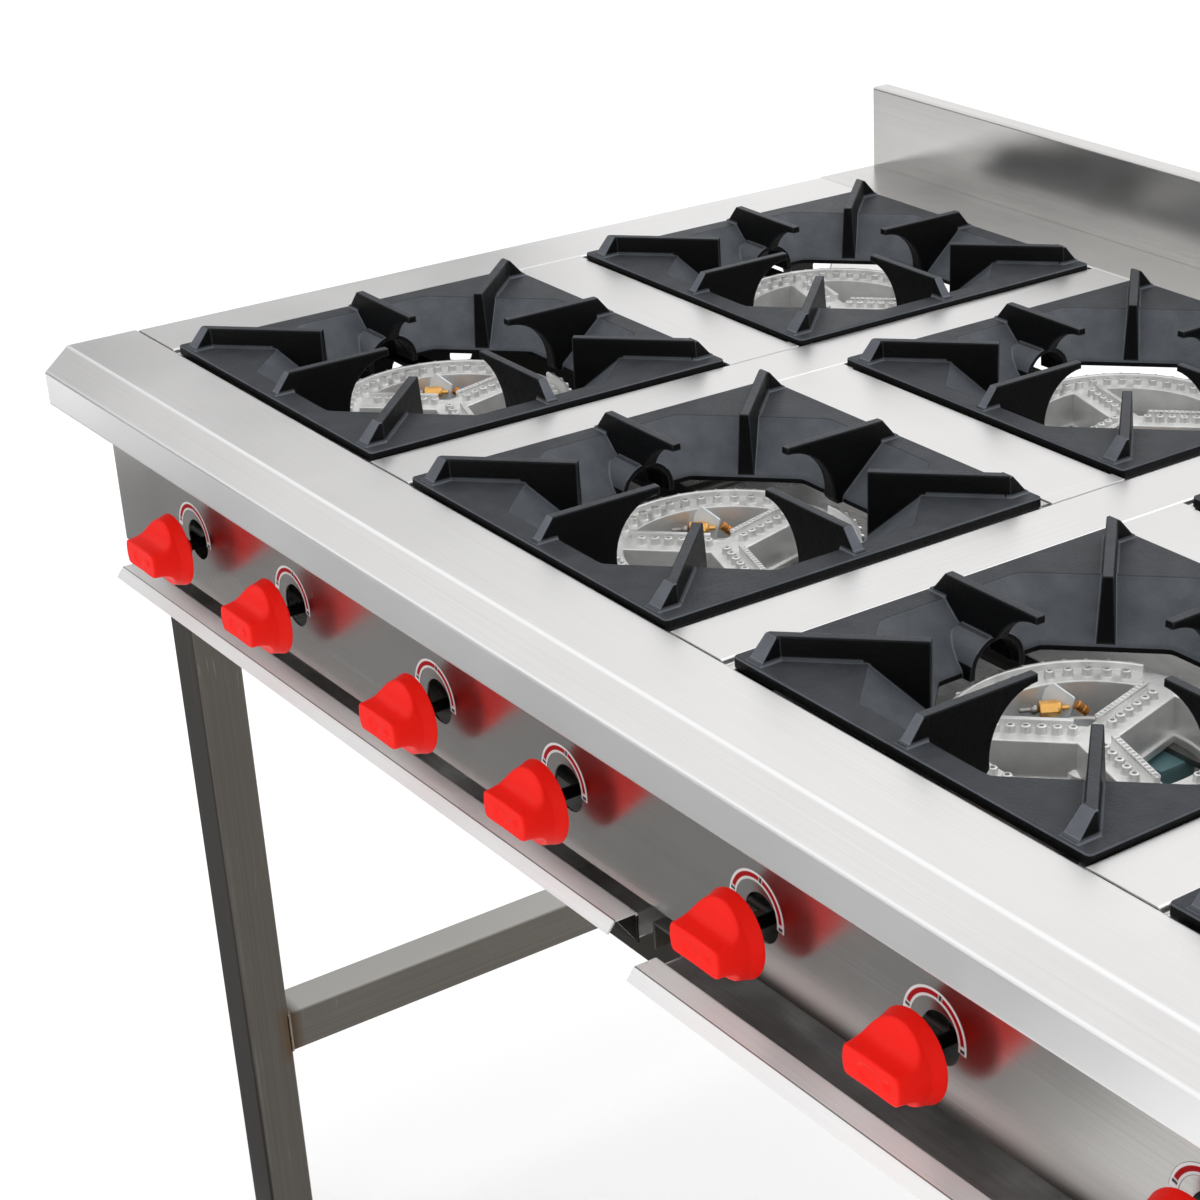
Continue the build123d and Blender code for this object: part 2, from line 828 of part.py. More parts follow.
# Side stretchers: tubes low between the front and back legs
with BuildPart() as side_stretchers:
    for left in (0, width - tube):
        side_tube(left, stretcher_top)
side_stretchers.part.label = "side_stretchers"
export_step(side_stretchers.part, "parts/side_stretchers.step")

# Tray guides: a strip on each side rail, and a folded channel on the long rails between the trays
guide_height = 15.0
channel_half = 15.0
channel_rise = 19.0
channel_front = -30.0
with BuildPart() as tray_guides:
    for left in (tube, width - tube - sheet):
        block(left, left + sheet, leg_front_y + tube, leg_back_y, rail_top, rail_top + guide_height)
    left = width / 2 - channel_half
    right = width / 2 + channel_half
    top = rail_top + channel_rise
    back = leg_back_y + tube
    block(left, right, channel_front, back, rail_top, top)
    block(left + sheet, right - sheet, channel_front, back, rail_top, top - sheet, mode=Mode.SUBTRACT)
tray_guides.part.label = "tray_guides"
export_step(tray_guides.part, "parts/tray_guides.step")

# Left tray: shallow pan with a wider front that is folded out into a lip
with BuildPart() as tray_left:
    with BuildSketch(across(tray_front_left)):
        bent_sheet(
            [
                (tray_front_y, tray_floor - sheet),
                (tray_front_y, tray_top),
                (tray_flange_y, tray_top),
                (tray_lip_y, tray_top - tray_lip_drop),
            ]
        )
    extrude(amount=tray_front_right - tray_front_left)
    back_wall = tray_front_y - sheet
    rim = tray_top - 4
    block(tray_box_left, tray_box_right, back_wall, tray_back_y, tray_floor - sheet, tray_floor)
    block(tray_box_left, tray_box_left + sheet, back_wall, tray_back_y, tray_floor, rim)
    block(tray_box_right - sheet, tray_box_right, back_wall, tray_back_y, tray_floor, rim)
    block(tray_box_left, tray_box_right, tray_back_y - sheet, tray_back_y, tray_floor, rim)
tray_left.part.label = "tray_left"
export_step(tray_left.part, "parts/tray_left.step")

# Right tray: the left one mirrored, and pulled out a little as it stands in use
with BuildPart(Plane(origin=(0, -tray_2_pulled, 0))) as tray_right:
    add(mirror(tray_left.part, about=Plane.YZ, mode=Mode.PRIVATE))
tray_right.part.label = "tray_right"
export_step(tray_right.part, "parts/tray_right.step")
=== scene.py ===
import math

import bmesh
import bpy
import numpy as np
from mathutils import Matrix, Vector


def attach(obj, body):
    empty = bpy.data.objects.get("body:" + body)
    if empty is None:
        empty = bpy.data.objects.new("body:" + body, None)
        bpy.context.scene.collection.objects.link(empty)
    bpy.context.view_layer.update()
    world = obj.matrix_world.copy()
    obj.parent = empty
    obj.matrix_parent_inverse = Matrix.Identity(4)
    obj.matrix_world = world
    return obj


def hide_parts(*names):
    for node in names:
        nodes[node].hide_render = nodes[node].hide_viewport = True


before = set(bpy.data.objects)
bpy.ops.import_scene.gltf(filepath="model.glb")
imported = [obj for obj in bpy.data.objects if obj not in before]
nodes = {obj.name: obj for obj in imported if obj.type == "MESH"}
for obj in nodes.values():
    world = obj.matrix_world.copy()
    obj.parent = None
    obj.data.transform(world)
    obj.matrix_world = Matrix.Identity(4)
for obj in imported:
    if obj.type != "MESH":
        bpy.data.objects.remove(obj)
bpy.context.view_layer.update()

# Legs: four square steel tubes, 40 mm over the flats with a 1.5 mm wall, that carry the casing
# at its corners. They are bare drawn steel, dull and brown-grey, cut square and welded.
width = 1509.9
middle_depth = 339.4
deck_height = 900.0
stand_tube = 40.0
tube_wall = 1.5
tube_corner = 2.6
leg_left = (0.0, width - stand_tube)
leg_front = (-8.0, 711.0)
leg_low = -895.0
leg_high = -169.5
x_way, y_way, z_way = np.eye(3)


def framed(points):
    """Points in mm from the left side, the front seam and the deck's top, as metres in the frame."""
    return (np.asarray(points, float) + (-width / 2, -middle_depth, deck_height)) / 1000


def deep(y):
    """A depth in mm behind the front seam, as metres in the frame."""
    return (y - middle_depth) / 1000


def grid(rows, columns, round_rows=False, round_columns=False):
    """Quads between the neighbours of a grid of points that are numbered row by row; a direction
    that goes round joins its last points to its first."""
    r = np.arange(rows if round_rows else rows - 1)[:, None]
    c = np.arange(columns if round_columns else columns - 1)[None, :]
    r2, c2 = (r + 1) % rows, (c + 1) % columns
    corners = (r * columns + c, r * columns + c2, r2 * columns + c2, r2 * columns + c)
    return np.stack(corners, -1).reshape(-1, 4)


def eased(corners, radius, steps=4, closed=True, thick=0.0):
    """Points and left-hand normals of a path whose corners are arcs that touch both sides. Where
    the path turns left it is the outer side of a fold, so its arc is wider by the thickness."""
    corners = np.asarray(corners, float)
    count = len(corners)
    places, normals = [], []
    for i in range(count):
        back = corners[i] - corners[i - 1]
        ahead = corners[(i + 1) % count] - corners[i]
        if not closed and i in (0, count - 1):
            run = ahead if i == 0 else back
            run = run / np.hypot(*run)
            places.append(corners[i])
            normals.append(np.array((-run[1], run[0])))
            continue
        back, ahead = back / np.hypot(*back), ahead / np.hypot(*ahead)
        turn = math.atan2(back[0] * ahead[1] - back[1] * ahead[0], back @ ahead)
        arc = radius + (thick if turn > 0 else 0.0)
        side = math.copysign(1, turn)
        first = np.array((-back[1], back[0]))
        centre = corners[i] - back * arc * math.tan(abs(turn) / 2) + side * arc * first
        for angle in np.linspace(0, turn, steps + 1):
            normal = first * math.cos(angle) + np.array((-first[1], first[0])) * math.sin(angle)
            places.append(centre - side * arc * normal)
            normals.append(normal)
    return np.array(places), np.array(normals)


def carried(rings, round_rows=False, capped=True):
    """A surface through rings of equally many points, closed at both ends unless it goes round."""
    rings = np.asarray(rings, float)
    rows, columns = rings.shape[:2]
    faces = [grid(rows, columns, round_rows, True)]
    if capped and not round_rows:
        faces += [np.arange(columns)[None], np.arange(columns)[None] + (rows - 1) * columns]
    return rings.reshape(-1, 3), faces


def along_line(section, across, up, start, stop):
    """A flat section carried along a straight line: start or stop, plus u across and v up."""
    section = np.asarray(section, float)
    flat = section[:, :1] * across + section[:, 1:] * up
    return carried([flat + start, flat + stop])


def square_tube(middle, across, up, start, stop):
    """Wall of a square tube: four rings, which are the outer and inner outline at both ends."""
    rings = []
    for half, corner in ((stand_tube / 2, tube_corner), (stand_tube / 2 - tube_wall, tube_corner - 1.2)):
        outline, _ = eased([(-half, -half), (half, -half), (half, half), (-half, half)], corner)
        flat = outline[:, :1] * across + outline[:, 1:] * up + middle
        rings += [flat + start, flat + stop] if half == stand_tube / 2 else [flat + stop, flat + start]
    return carried(rings, round_rows=True)


def baked(obj):
    """Turns the object's modifiers into its own mesh."""
    bpy.context.view_layer.update()
    mesh = bpy.data.meshes.new_from_object(obj.evaluated_get(bpy.context.evaluated_depsgraph_get()))
    obj.modifiers.clear()
    obj.data = mesh
    mesh.name = obj.name


def piece(name, shells, finish, body="stove", slot=None, stands_for=(), crease=34, cut=None):
    """A piece of closed shells in mm: cut out where asked, turned to face outwards, shaded smooth
    except at edges sharper than the crease angle, with large faces kept flat, and set on its body."""
    points, faces, count = [], [], 0
    for shell_points, shell_faces in shells:
        points.append(shell_points)
        faces += [tuple(face) for array in shell_faces for face in (array + count).tolist()]
        count += len(shell_points)
    mesh = bpy.data.meshes.new(name)
    mesh.from_pydata(framed(np.concatenate(points)).tolist(), [], faces)
    form = bmesh.new()
    form.from_mesh(mesh)
    bmesh.ops.recalc_face_normals(form, faces=form.faces)
    form.to_mesh(mesh)
    form.free()
    obj = bpy.data.objects.new(name, mesh)
    bpy.context.scene.collection.objects.link(obj)
    if cut:
        cut_out(obj, cut)
    if finish is None:
        return obj
    obj.data.shade_smooth()
    obj.data.set_sharp_from_angle(angle=math.radians(crease))
    weighted = obj.modifiers.new("normals", "WEIGHTED_NORMAL")
    weighted.weight, weighted.keep_sharp = 100, True
    baked(obj)
    obj.data.materials.append(finish)
    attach(obj, body)
    if stands_for:
        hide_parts(*stands_for)
    return obj


def cut_out(obj, shells):
    """Takes the closed shells out of the object's mesh."""
    tool = piece(obj.name + "_tool", shells, None)
    cutting = obj.modifiers.new("cut", "BOOLEAN")
    cutting.operation, cutting.solver, cutting.object = "DIFFERENCE", "EXACT", tool
    cutting.use_self = True
    baked(obj)
    bpy.data.objects.remove(tool)


def node_group(name, inputs, outputs):
    """An empty shader group with these sockets, and its input and output nodes."""
    tree = bpy.data.node_groups.new(name, "ShaderNodeTree")
    for socket, kind, value in inputs:
        made = tree.interface.new_socket(socket, in_out="INPUT", socket_type=kind)
        if value is not None:
            made.default_value = value
    for socket, kind in outputs:
        tree.interface.new_socket(socket, in_out="OUTPUT", socket_type=kind)
    return tree, tree.nodes.new("NodeGroupInput"), tree.nodes.new("NodeGroupOutput")


def add(tree, kind, links=None, **settings):
    """A node with its settings made and its sockets linked or filled in, by name or number."""
    node = tree.nodes.new(kind)
    for key, value in settings.items():
        setattr(node, key, value)
    for key, value in (links or {}).items():
        if isinstance(value, bpy.types.NodeSocket):
            tree.links.new(value, node.inputs[key])
        else:
            node.inputs[key].default_value = value
    return node


def scaled(tree, source, low, high, to_low, to_high):
    """The source's range low to high turned into another range, and held inside it."""
    return add(
        tree, "ShaderNodeMapRange",
        {"Value": source, "From Min": low, "From Max": high, "To Min": to_low, "To Max": to_high},
    ).outputs[0]


def mixed(tree, factor, first, second, kind="MIX"):
    """Two colours mixed by the factor."""
    first, second = (c if isinstance(c, bpy.types.NodeSocket) else (*c, 1) for c in (first, second))
    links = {0: factor, 6: first, 7: second}
    return add(tree, "ShaderNodeMix", links, data_type="RGBA", blend_type=kind).outputs[2]


def worked(tree, operation, first, second=0.5, kind="ShaderNodeMath"):
    """Two values worked into one, or two vectors where the kind of node says so."""
    return add(tree, kind, {0: first, 1: second}, operation=operation).outputs[0]


def place_on(tree):
    """Where a point lies on the object, in metres in the frame."""
    return add(tree, "ShaderNodeTexCoord").outputs["Object"]


def axis(tree, number):
    """One of the three coordinates of that point."""
    return add(tree, "ShaderNodeSeparateXYZ", {0: place_on(tree)}).outputs[number]


def noise(tree, scale, detail=3.0, place=None, roughness=0.5):
    """Cloudy noise from 0 to 1 over the object, or over another place."""
    place = place_on(tree) if place is None else place
    links = {"Vector": place, "Scale": scale, "Detail": detail, "Roughness": roughness}
    return add(tree, "ShaderNodeTexNoise", links).outputs[0]


def near(tree, value, middle, full, gone):
    """1 where the value is within full of the middle, falling to 0 at gone."""
    apart = worked(tree, "ABSOLUTE", worked(tree, "SUBTRACT", value, middle))
    return scaled(tree, apart, full, gone, 1.0, 0.0)


def rounded(tree, radius, samples=4):
    """The surface's normal, with sharp edges rounded off to a radius."""
    return add(tree, "ShaderNodeBevel", {"Radius": radius}, samples=samples).outputs[0]


def relief(tree, height, distance, **more):
    """A normal that follows a height; more sets its Strength and the Normal that it starts from."""
    return add(tree, "ShaderNodeBump", {"Height": height, "Distance": distance, **more}).outputs[0]


def feed(principled, **values):
    """Links values to the shader's inputs of these names."""
    for name, value in values.items():
        principled.id_data.links.new(value, principled.inputs[name.replace("_", " ")])


# The grain of brushed or drawn sheet: long fine lines, wider soft bands, handling marks and a few
# scratches. Stretch says how finely the pattern repeats along each axis of the object.
grain_tree, grain_in, grain_out = node_group(
    "drawn_grain",
    [("Stretch", "NodeSocketVector", (4, 900, 900)), ("Scratches", "NodeSocketFloat", 0.5)],
    [("Lines", "NodeSocketFloat"), ("Cloud", "NodeSocketFloat"), ("Scratch", "NodeSocketFloat")],
)
vector_math = "ShaderNodeVectorMath"
grain_place = place_on(grain_tree)
grain_run = worked(grain_tree, "MULTIPLY", grain_place, grain_in.outputs[0], vector_math)
grain_lines = noise(grain_tree, 1.0, 4.0, grain_run)
grain_cloud = noise(grain_tree, 7.0, 3.0, grain_place)
scratch_run = worked(grain_tree, "MULTIPLY", grain_run, (0.55, 0.16, 0.16), vector_math)
scratches_along = scaled(grain_tree, noise(grain_tree, 1.0, 1.0, scratch_run), 0.66, 0.72, 0.0, 1.0)
cross_run = worked(grain_tree, "MULTIPLY", grain_place, (420, 420, 30), vector_math)
scratches_across = scaled(grain_tree, noise(grain_tree, 1.0, 1.0, cross_run), 0.66, 0.74, 0.0, 0.7)
scratch_where = scaled(grain_tree, grain_cloud, 0.45, 0.62, 0.0, 1.0)
scratches_both = worked(grain_tree, "MAXIMUM", scratches_along, scratches_across)
scratches_both = worked(grain_tree, "MULTIPLY", scratches_both, scratch_where)
scratches_both = worked(grain_tree, "MULTIPLY", scratches_both, grain_in.outputs[1])
for made, socket in zip((grain_lines, grain_cloud, scratches_both), grain_out.inputs):
    grain_tree.links.new(made, socket)


def shader(name, **constants):
    """A new material, its tree and its Principled shader with the constants set on it."""
    material = bpy.data.materials.new(name)
    material.use_nodes = True
    principled = material.node_tree.nodes["Principled BSDF"]
    for socket, value in constants.items():
        principled.inputs[socket.replace("_", " ")].default_value = value
    return material, material.node_tree, principled


def mottled(name, dark, light, scale, detail=3.0, **constants):
    """A finish whose colour wanders between two tones."""
    material, tree, principled = shader(name, **constants)
    grit = noise(tree, scale, detail)
    feed(principled, Base_Color=mixed(tree, grit, dark, light))
    return material, tree, principled, grit


def steel(
    name, dark, light, stretch, rough=(0.24, 0.36), scratches=0.5, line_depth=0.00002, edge=0.0006, metal=1.0
):
    """Bare steel sheet: two greys mixed by the grain, a little more or less rough in clouds, with
    the lines as shallow relief on edges that the Bevel node rounds off."""
    material, tree, principled = shader(name, Metallic=metal)
    grain = add(tree, "ShaderNodeGroup", node_tree=grain_tree)
    grain.inputs[0].default_value = stretch
    grain.inputs[1].default_value = scratches
    lines, cloud, scratch = grain.outputs
    tone = mixed(tree, scaled(tree, lines, 0.3, 0.7, 0.0, 1.0), dark, light)
    shade = scaled(tree, cloud, 0.3, 0.7, 0.93, 1.0)
    shade = add(tree, "ShaderNodeCombineColor", {0: shade, 1: shade, 2: shade}).outputs[0]
    tone = mixed(tree, 1.0, tone, shade, "MULTIPLY")
    tone = mixed(tree, scratch, tone, (0.85, 0.85, 0.85))
    height = worked(tree, "SUBTRACT", lines, scratch)
    feed(
        principled, Base_Color=tone, Roughness=scaled(tree, cloud, 0.3, 0.7, *rough),
        Normal=relief(tree, height, line_depth, Normal=rounded(tree, edge)),
    )
    return material, tree, principled, tone


drawn = {"rough": (0.3, 0.4), "scratches": 0.1, "line_depth": 0.000004}
stand_steel, stand_tree, stand_shader, stand_tone = steel(
    "stand_steel", (0.105, 0.094, 0.082), (0.12, 0.109, 0.096), (700, 700, 3), **drawn
)
cross_ends = (leg_front[0] + stand_tube, leg_front[1])
stretcher_heat = (0.247, 0.018, 0.032)
side_rail_heat = (0.712, 0.016, 0.03)


def beside_welds(tree, full, gone):
    """1 in depth at the front and the back ends of the stretchers, falling to 0."""
    ends = [near(tree, axis(tree, 1), deep(y), full, gone) for y in cross_ends]
    return worked(tree, "MAXIMUM", *ends)


heat_height = worked(
    stand_tree, "MAXIMUM",
    *(near(stand_tree, axis(stand_tree, 2), *heat) for heat in (stretcher_heat, side_rail_heat)),
)
heat = worked(stand_tree, "MULTIPLY", beside_welds(stand_tree, 0.002, 0.014), heat_height)
heat = scaled(stand_tree, heat, 0.0, 1.0, 0.0, 0.75)
feed(stand_shader, Base_Color=mixed(stand_tree, heat, stand_tone, (0.10, 0.055, 0.02)))

for side, left in zip(("left", "right"), leg_left):
    for end, front in zip(("front", "back"), leg_front):
        middle = (left + stand_tube / 2, front + stand_tube / 2, 0)
        tube = square_tube(middle, x_way, y_way, z_way * leg_low, z_way * leg_high)
        node = f"leg_{end}_{side}"
        piece(node + "_tube", [tube], stand_steel, slot="stand_steel", stands_for=[node])

# Rails and stretchers: more of the same tube. Two long rails under the trays, a rail under each
# side of the casing and a stretcher low on each side, butted against the legs.
rail_middle = -223.0
side_middle = -189.5
stretcher_middle = -653.0
long_steel = steel("long_rail_steel", (0.07, 0.063, 0.055), (0.085, 0.077, 0.067), (3, 700, 700), **drawn)[0]
rails = [
    square_tube(
        (0, front + stand_tube / 2, rail_middle), y_way, z_way,
        x_way * stand_tube, x_way * (width - stand_tube),
    )
    for front in leg_front
]
piece("long_rail_tubes", rails, long_steel, slot="stand_steel", stands_for=["long_rails"])
cross_steel, cross_tree, cross_shader, cross_tone = steel(
    "cross_steel", (0.13, 0.12, 0.106), (0.15, 0.139, 0.124), (700, 3, 700), **drawn
)
cross_heat = scaled(cross_tree, beside_welds(cross_tree, 0.003, 0.013), 0.0, 1.0, 0.0, 0.8)
# Painted light: faces of the rails, stretchers and tray guides that look upwards are lightened to pale grey.
facing = add(cross_tree, "ShaderNodeNewGeometry").outputs["Normal"]
upward = add(cross_tree, "ShaderNodeSeparateXYZ", {0: facing}).outputs[2]
painted_top_light = scaled(cross_tree, upward, 0.3, 0.95, 0.0, 1.0)
cross_tone = mixed(cross_tree, painted_top_light, cross_tone, (0.50, 0.485, 0.46))
feed(cross_shader, Base_Color=mixed(cross_tree, cross_heat, cross_tone, (0.07, 0.04, 0.018)))
for name, node, height in (
    ("side_rail_tubes", "side_rails", side_middle), ("stretcher_tubes", "side_stretchers", stretcher_middle)
):
    tubes = [
        square_tube((left + stand_tube / 2, 0, height), x_way, z_way, *(y_way * y for y in cross_ends))
        for left in leg_left
    ]
    piece(name, tubes, cross_steel, slot="stand_steel", stands_for=[node])

# Welds: rippled beads round the ends of the rails and stretchers, darkened by the heat.
weld_finish = mottled(
    "weld_bead", (0.10, 0.07, 0.045), (0.42, 0.38, 0.33), 300.0, Metallic=1.0, Roughness=0.45
)[0]


def bead(middle, across, up, outwards):
    """A bead carried round a tube's outline: its radius is 1.1 mm and swells by a fifth at each
    ripple, 1.9 mm apart, as 1 plus 0.2 times the sine's size. It is ground flush with the stand's
    left and right faces."""
    half = stand_tube / 2
    outline, normals = eased([(-half, -half), (half, -half), (half, half), (-half, half)], tube_corner)
    ahead = np.roll(outline, -1, 0)
    runs = np.hypot(*(ahead - outline).T)
    marks = np.arange(0, runs.sum(), 0.6)
    length = np.concatenate(([0], np.cumsum(runs)))
    loop = np.concatenate((outline, outline[:1]))
    path = np.stack([np.interp(marks, length, loop[:, k]) for k in (0, 1)], -1)
    turned = np.concatenate((normals, normals[:1]))
    facing = -np.stack([np.interp(marks, length, turned[:, k]) for k in (0, 1)], -1)
    radius = 1.1 + 0.22 * np.abs(np.sin(np.pi * marks / 1.9))
    around = np.linspace(0, 2 * np.pi, 9)[:-1]
    flat = path[:, None] + facing[:, None] * (radius[:, None] * np.cos(around))[..., None]
    height = radius[:, None] * np.sin(around)
    rings = (
        flat[..., :1] * across + flat[..., 1:] * up + height[..., None] * outwards + middle
    )
    return carried(np.clip(rings, (0, -9e3, -9e3), (width, 9e3, 9e3)), round_rows=True)


beads = [
    bead((left + stand_tube / 2, y, stretcher_middle), x_way, z_way, y_way)
    for left in leg_left for y in cross_ends
]
beads += [
    bead((x, front + stand_tube / 2, rail_middle), y_way, z_way, x_way)
    for front in leg_front for x in (stand_tube, width - stand_tube)
]
piece("stand_welds", beads, weld_finish, slot="stand_steel", crease=60)

# Foot plugs and tray guides: plain pieces that keep their own solids. The plugs are moulded
# plastic with a fine spark-eroded skin, and the guides are folded from the stand's steel.
plug_finish, plug_tree, plug_shader, plug_grit = mottled(
    "foot_plastic", (0.012, 0.012, 0.012), (0.03, 0.03, 0.03), 900.0, 2.0, Roughness=0.6
)
feed(plug_shader, Normal=relief(plug_tree, plug_grit, 0.0001))


def dressed(finish, *names):
    """Gives a finish to solids that are kept as they are."""
    for name in names:
        nodes[name].data.materials.clear()
        nodes[name].data.materials.append(finish)


dressed(plug_finish, "foot_plugs")
dressed(cross_steel, "tray_guides")

# Apron: one stainless sheet folded over the front edge of the deck, with a bevel, an upright lip
# and a hem below, and a plate welded into each end. Brushed along its length and wiped bright.
sheet = 1.5
fold = 0.9
deck = {"rough": (0.30, 0.38), "scratches": 0.2, "line_depth": 0.000003, "metal": 0.92}
deck_dark = (0.79, 0.78, 0.775)
deck_light = (0.86, 0.85, 0.845)
apron_steel, apron_tree, apron_shader, apron_tone = steel(
    "apron_steel", deck_dark, deck_light, (3, 1500, 1500), **deck
)
# Painted highlight: a bright line along each fold of the bevel.
painted_fold_lines = [near(apron_tree, axis(apron_tree, 1), deep(y), 0.0006, 0.0016) for y in (-58.6, -78.6)]
apron_tone = mixed(apron_tree, worked(apron_tree, "MAXIMUM", *painted_fold_lines), apron_tone, (0.97, 0.97, 0.97))


def shade_inside_casing(tree, principled, tone):
    """Darkens what lies inside the casing to near black with painted shade: below the ledges, between the
    outer faces of the sides and of the two outer rows of pockets."""
    inside_x = near(tree, axis(tree, 0), 0.0, 0.7538, 0.7544)
    inside_y = near(tree, axis(tree, 1), 0.0, 0.3380, 0.3386)
    below = scaled(tree, axis(tree, 2), 0.8954, 0.8960, 1.0, 0.0)
    inside_shade = worked(tree, "MULTIPLY", worked(tree, "MULTIPLY", inside_x, inside_y), below)
    feed(principled, Base_Color=mixed(tree, inside_shade, tone, (0.02, 0.019, 0.018)))


# Painted shade darkens the apron's faces inside the casing.
shade_inside_casing(apron_tree, apron_shader, apron_tone)


def folded(points, bend=fold):
    """Section of a sheet folded along points: the path's own side, then back along the other side,
    which is one thickness to the left."""
    path, normals = eased(points, bend, closed=False, thick=sheet)
    return np.concatenate((path, (path + sheet * normals)[::-1]))


def across_stove(section, x0, x1):
    """A section in depth and height, carried from x0 to x1."""
    return along_line(section, y_way, z_way, x_way * x0, x_way * x1)


def into_stove(section, y0, y1):
    """A section in width and height, carried from y0 to y1."""
    return along_line(section, x_way, z_way, y_way * y0, y_way * y1)


def plate(x0, x1, y0, y1, z0, z1):
    """A flat plate between two corners, its section square to its length."""
    return into_stove([(x0, z0), (x1, z0), (x1, z1), (x0, z1)], y0, y1)


ledge_low = -25.0
bevel_back = -58.1
lip_front = -79.1
lip_high = -17.3
lip_low = -44.1
hem_back = -67.1
panel_y = -34.2
apron_path = [
    (0, ledge_low), (0, 0), (bevel_back, 0), (lip_front, lip_high), (lip_front, lip_low), (hem_back, lip_low)
]
apron_shells = [across_stove(folded(apron_path), 0, width)]
end_front, end_low = lip_front + sheet, lip_low + sheet
apron_end = [(end_front, end_low), (panel_y, end_low), (panel_y, -sheet), (-57.6, -sheet), (end_front, -18.0)]
tiny = 0.05
for x in (0, width - sheet):
    apron_shells.append(across_stove(apron_end, x + tiny, x + sheet - tiny))
piece("apron_sheet", apron_shells, apron_steel, slot="stainless", stands_for=["apron"])

# Control panel: a flat stainless front, folded under at its lower edge, with a round hole for each
# stem. It is smoother than the deck, so the knobs mirror in it, and has fine wiping scratches.
columns = 4
pocket = 306.0
column_pitch = 359.3
side_strip = 63.0
row_pitch = 371.6
panel_low = -169.5
panel_hem = 12.0
knob_z = -126.0
dial_z = -123.0
hole_radius = 15.8
panel_steel = steel(
    "panel_steel", (0.50, 0.485, 0.465), (0.56, 0.545, 0.525), (4, 1500, 1500), rough=(0.19, 0.28),
    scratches=0.3, line_depth=0.000003,
)[0]


def column_x(column):
    """Middle of a column of burners, counted from 0 at the left."""
    return side_strip + pocket / 2 + column * column_pitch


def row_y(row):
    """Middle of a row of burners, 0 in front and 1 behind."""
    return pocket / 2 + row * row_pitch


def knob_x(index):
    """Middle of a knob, two to each column."""
    return column_x(index // 2) + (78.9 if index % 2 else -78.9) + 5.0


def rod(middle, ahead, across, up, radius, low, high, sides=48):
    """A plain round rod about an axis, used to cut holes: radius times cosine and sine."""
    turn = np.linspace(0, 2 * np.pi, sides + 1)[:-1]
    ring = radius * (np.cos(turn)[:, None] * across + np.sin(turn)[:, None] * up)
    return carried([ring + middle + ahead * low, ring + middle + ahead * high])


knobs = range(2 * columns)
panel_path = [(panel_y, -sheet), (panel_y, panel_low), (panel_y + panel_hem, panel_low)]
holes = [rod((knob_x(i), panel_y, dial_z), y_way, x_way, z_way, hole_radius, -6, 6) for i in knobs]
panel_shells = [across_stove(folded(panel_path), 0, width)]
piece("panel_sheet", panel_shells, panel_steel, slot="panel_steel", stands_for=["control_panel"], cut=holes)

# Sides: a stainless sheet each, from the ledge that carries the grates over the deck and down the
# side, with a row of round vent holes. Brushed from front to back.
pockets_back = row_pitch + pocket
splash_back = 761.0
side_steel, side_tree, side_shader, side_tone = steel(
    "side_steel", deck_dark, deck_light, (1500, 3, 1500), **deck
)
# Painted shade darkens the sides and dividers inside the casing.
shade_inside_casing(side_tree, side_shader, side_tone)
seam = 0.6
ledge_high = -3.8
ledge_width = 10.0
vent_radius = 11.2
vent_z = -83.0
vent_y = 60.3 + 56.1 * np.arange(12)


def mirrored(shells, y_shift=0.0):
    """Shells on the left turned into their mirror images on the right."""
    return [(points * (-1, 1, 1) + (width, y_shift, 0), faces) for points, faces in shells]


for side in ("left", "right"):
    ledge = side_strip + ledge_width
    step = [(ledge, ledge_low), (ledge, ledge_high), (side_strip, ledge_high)]
    path = step + [(side_strip, 0), (0, 0), (0, -168.2)]
    shells = [
        into_stove(folded(path), seam, pockets_back - seam),
        plate(0, sheet, panel_y + sheet, seam, panel_low, -sheet),
        plate(0, sheet, pockets_back - seam, splash_back - sheet, panel_low, -sheet),
        plate(tiny, 20, *cross_ends, panel_low, panel_low + sheet),
    ]
    tools = [rod((0, y, vent_z), x_way, y_way, z_way, vent_radius, -5, 5, 40) for y in vent_y]
    if side == "right":
        shells, tools = mirrored(shells), mirrored(tools)
    node = f"side_{side}"
    piece(node + "_sheet", shells, side_steel, slot="stainless", stands_for=[node], cut=tools)

# Dividers and bridge plates: hat-shaped strips from front to back between the columns, with
# ledges for the grates, and short plates between the two grates of a column.
shells = []
for gap in range(columns - 1):
    middle = column_x(gap) + column_pitch / 2
    half = (column_pitch - pocket) / 2
    ledge = half + ledge_width
    hat = [(ledge, ledge_low), (ledge, ledge_high), (half, ledge_high), (half, 0)]
    hat = hat + [(-x, z) for x, z in hat[::-1]]
    shells.append(into_stove(folded([(middle + x, z) for x, z in hat]), seam, pockets_back - seam))
piece("divider_sheets", shells, side_steel, slot="stainless", stands_for=["dividers"])
shells = []
notch = 13.0
bridge_gap = 0.4
for column in range(columns):
    left, right = column_x(column) - pocket / 2, column_x(column) + pocket / 2
    bridge = folded([(row_pitch, ledge_low), (row_pitch, 0), (pocket, 0), (pocket, ledge_low)])
    shells.append(across_stove(bridge, left + notch, right - notch))
    for x0, x1 in ((left + bridge_gap, left + notch), (right - notch, right - bridge_gap)):
        shells.append(across_stove(folded([(row_pitch, 0), (pocket, 0)]), x0, x1))
piece("bridge_sheets", shells, apron_steel, slot="stainless", stands_for=["bridge_plates"])

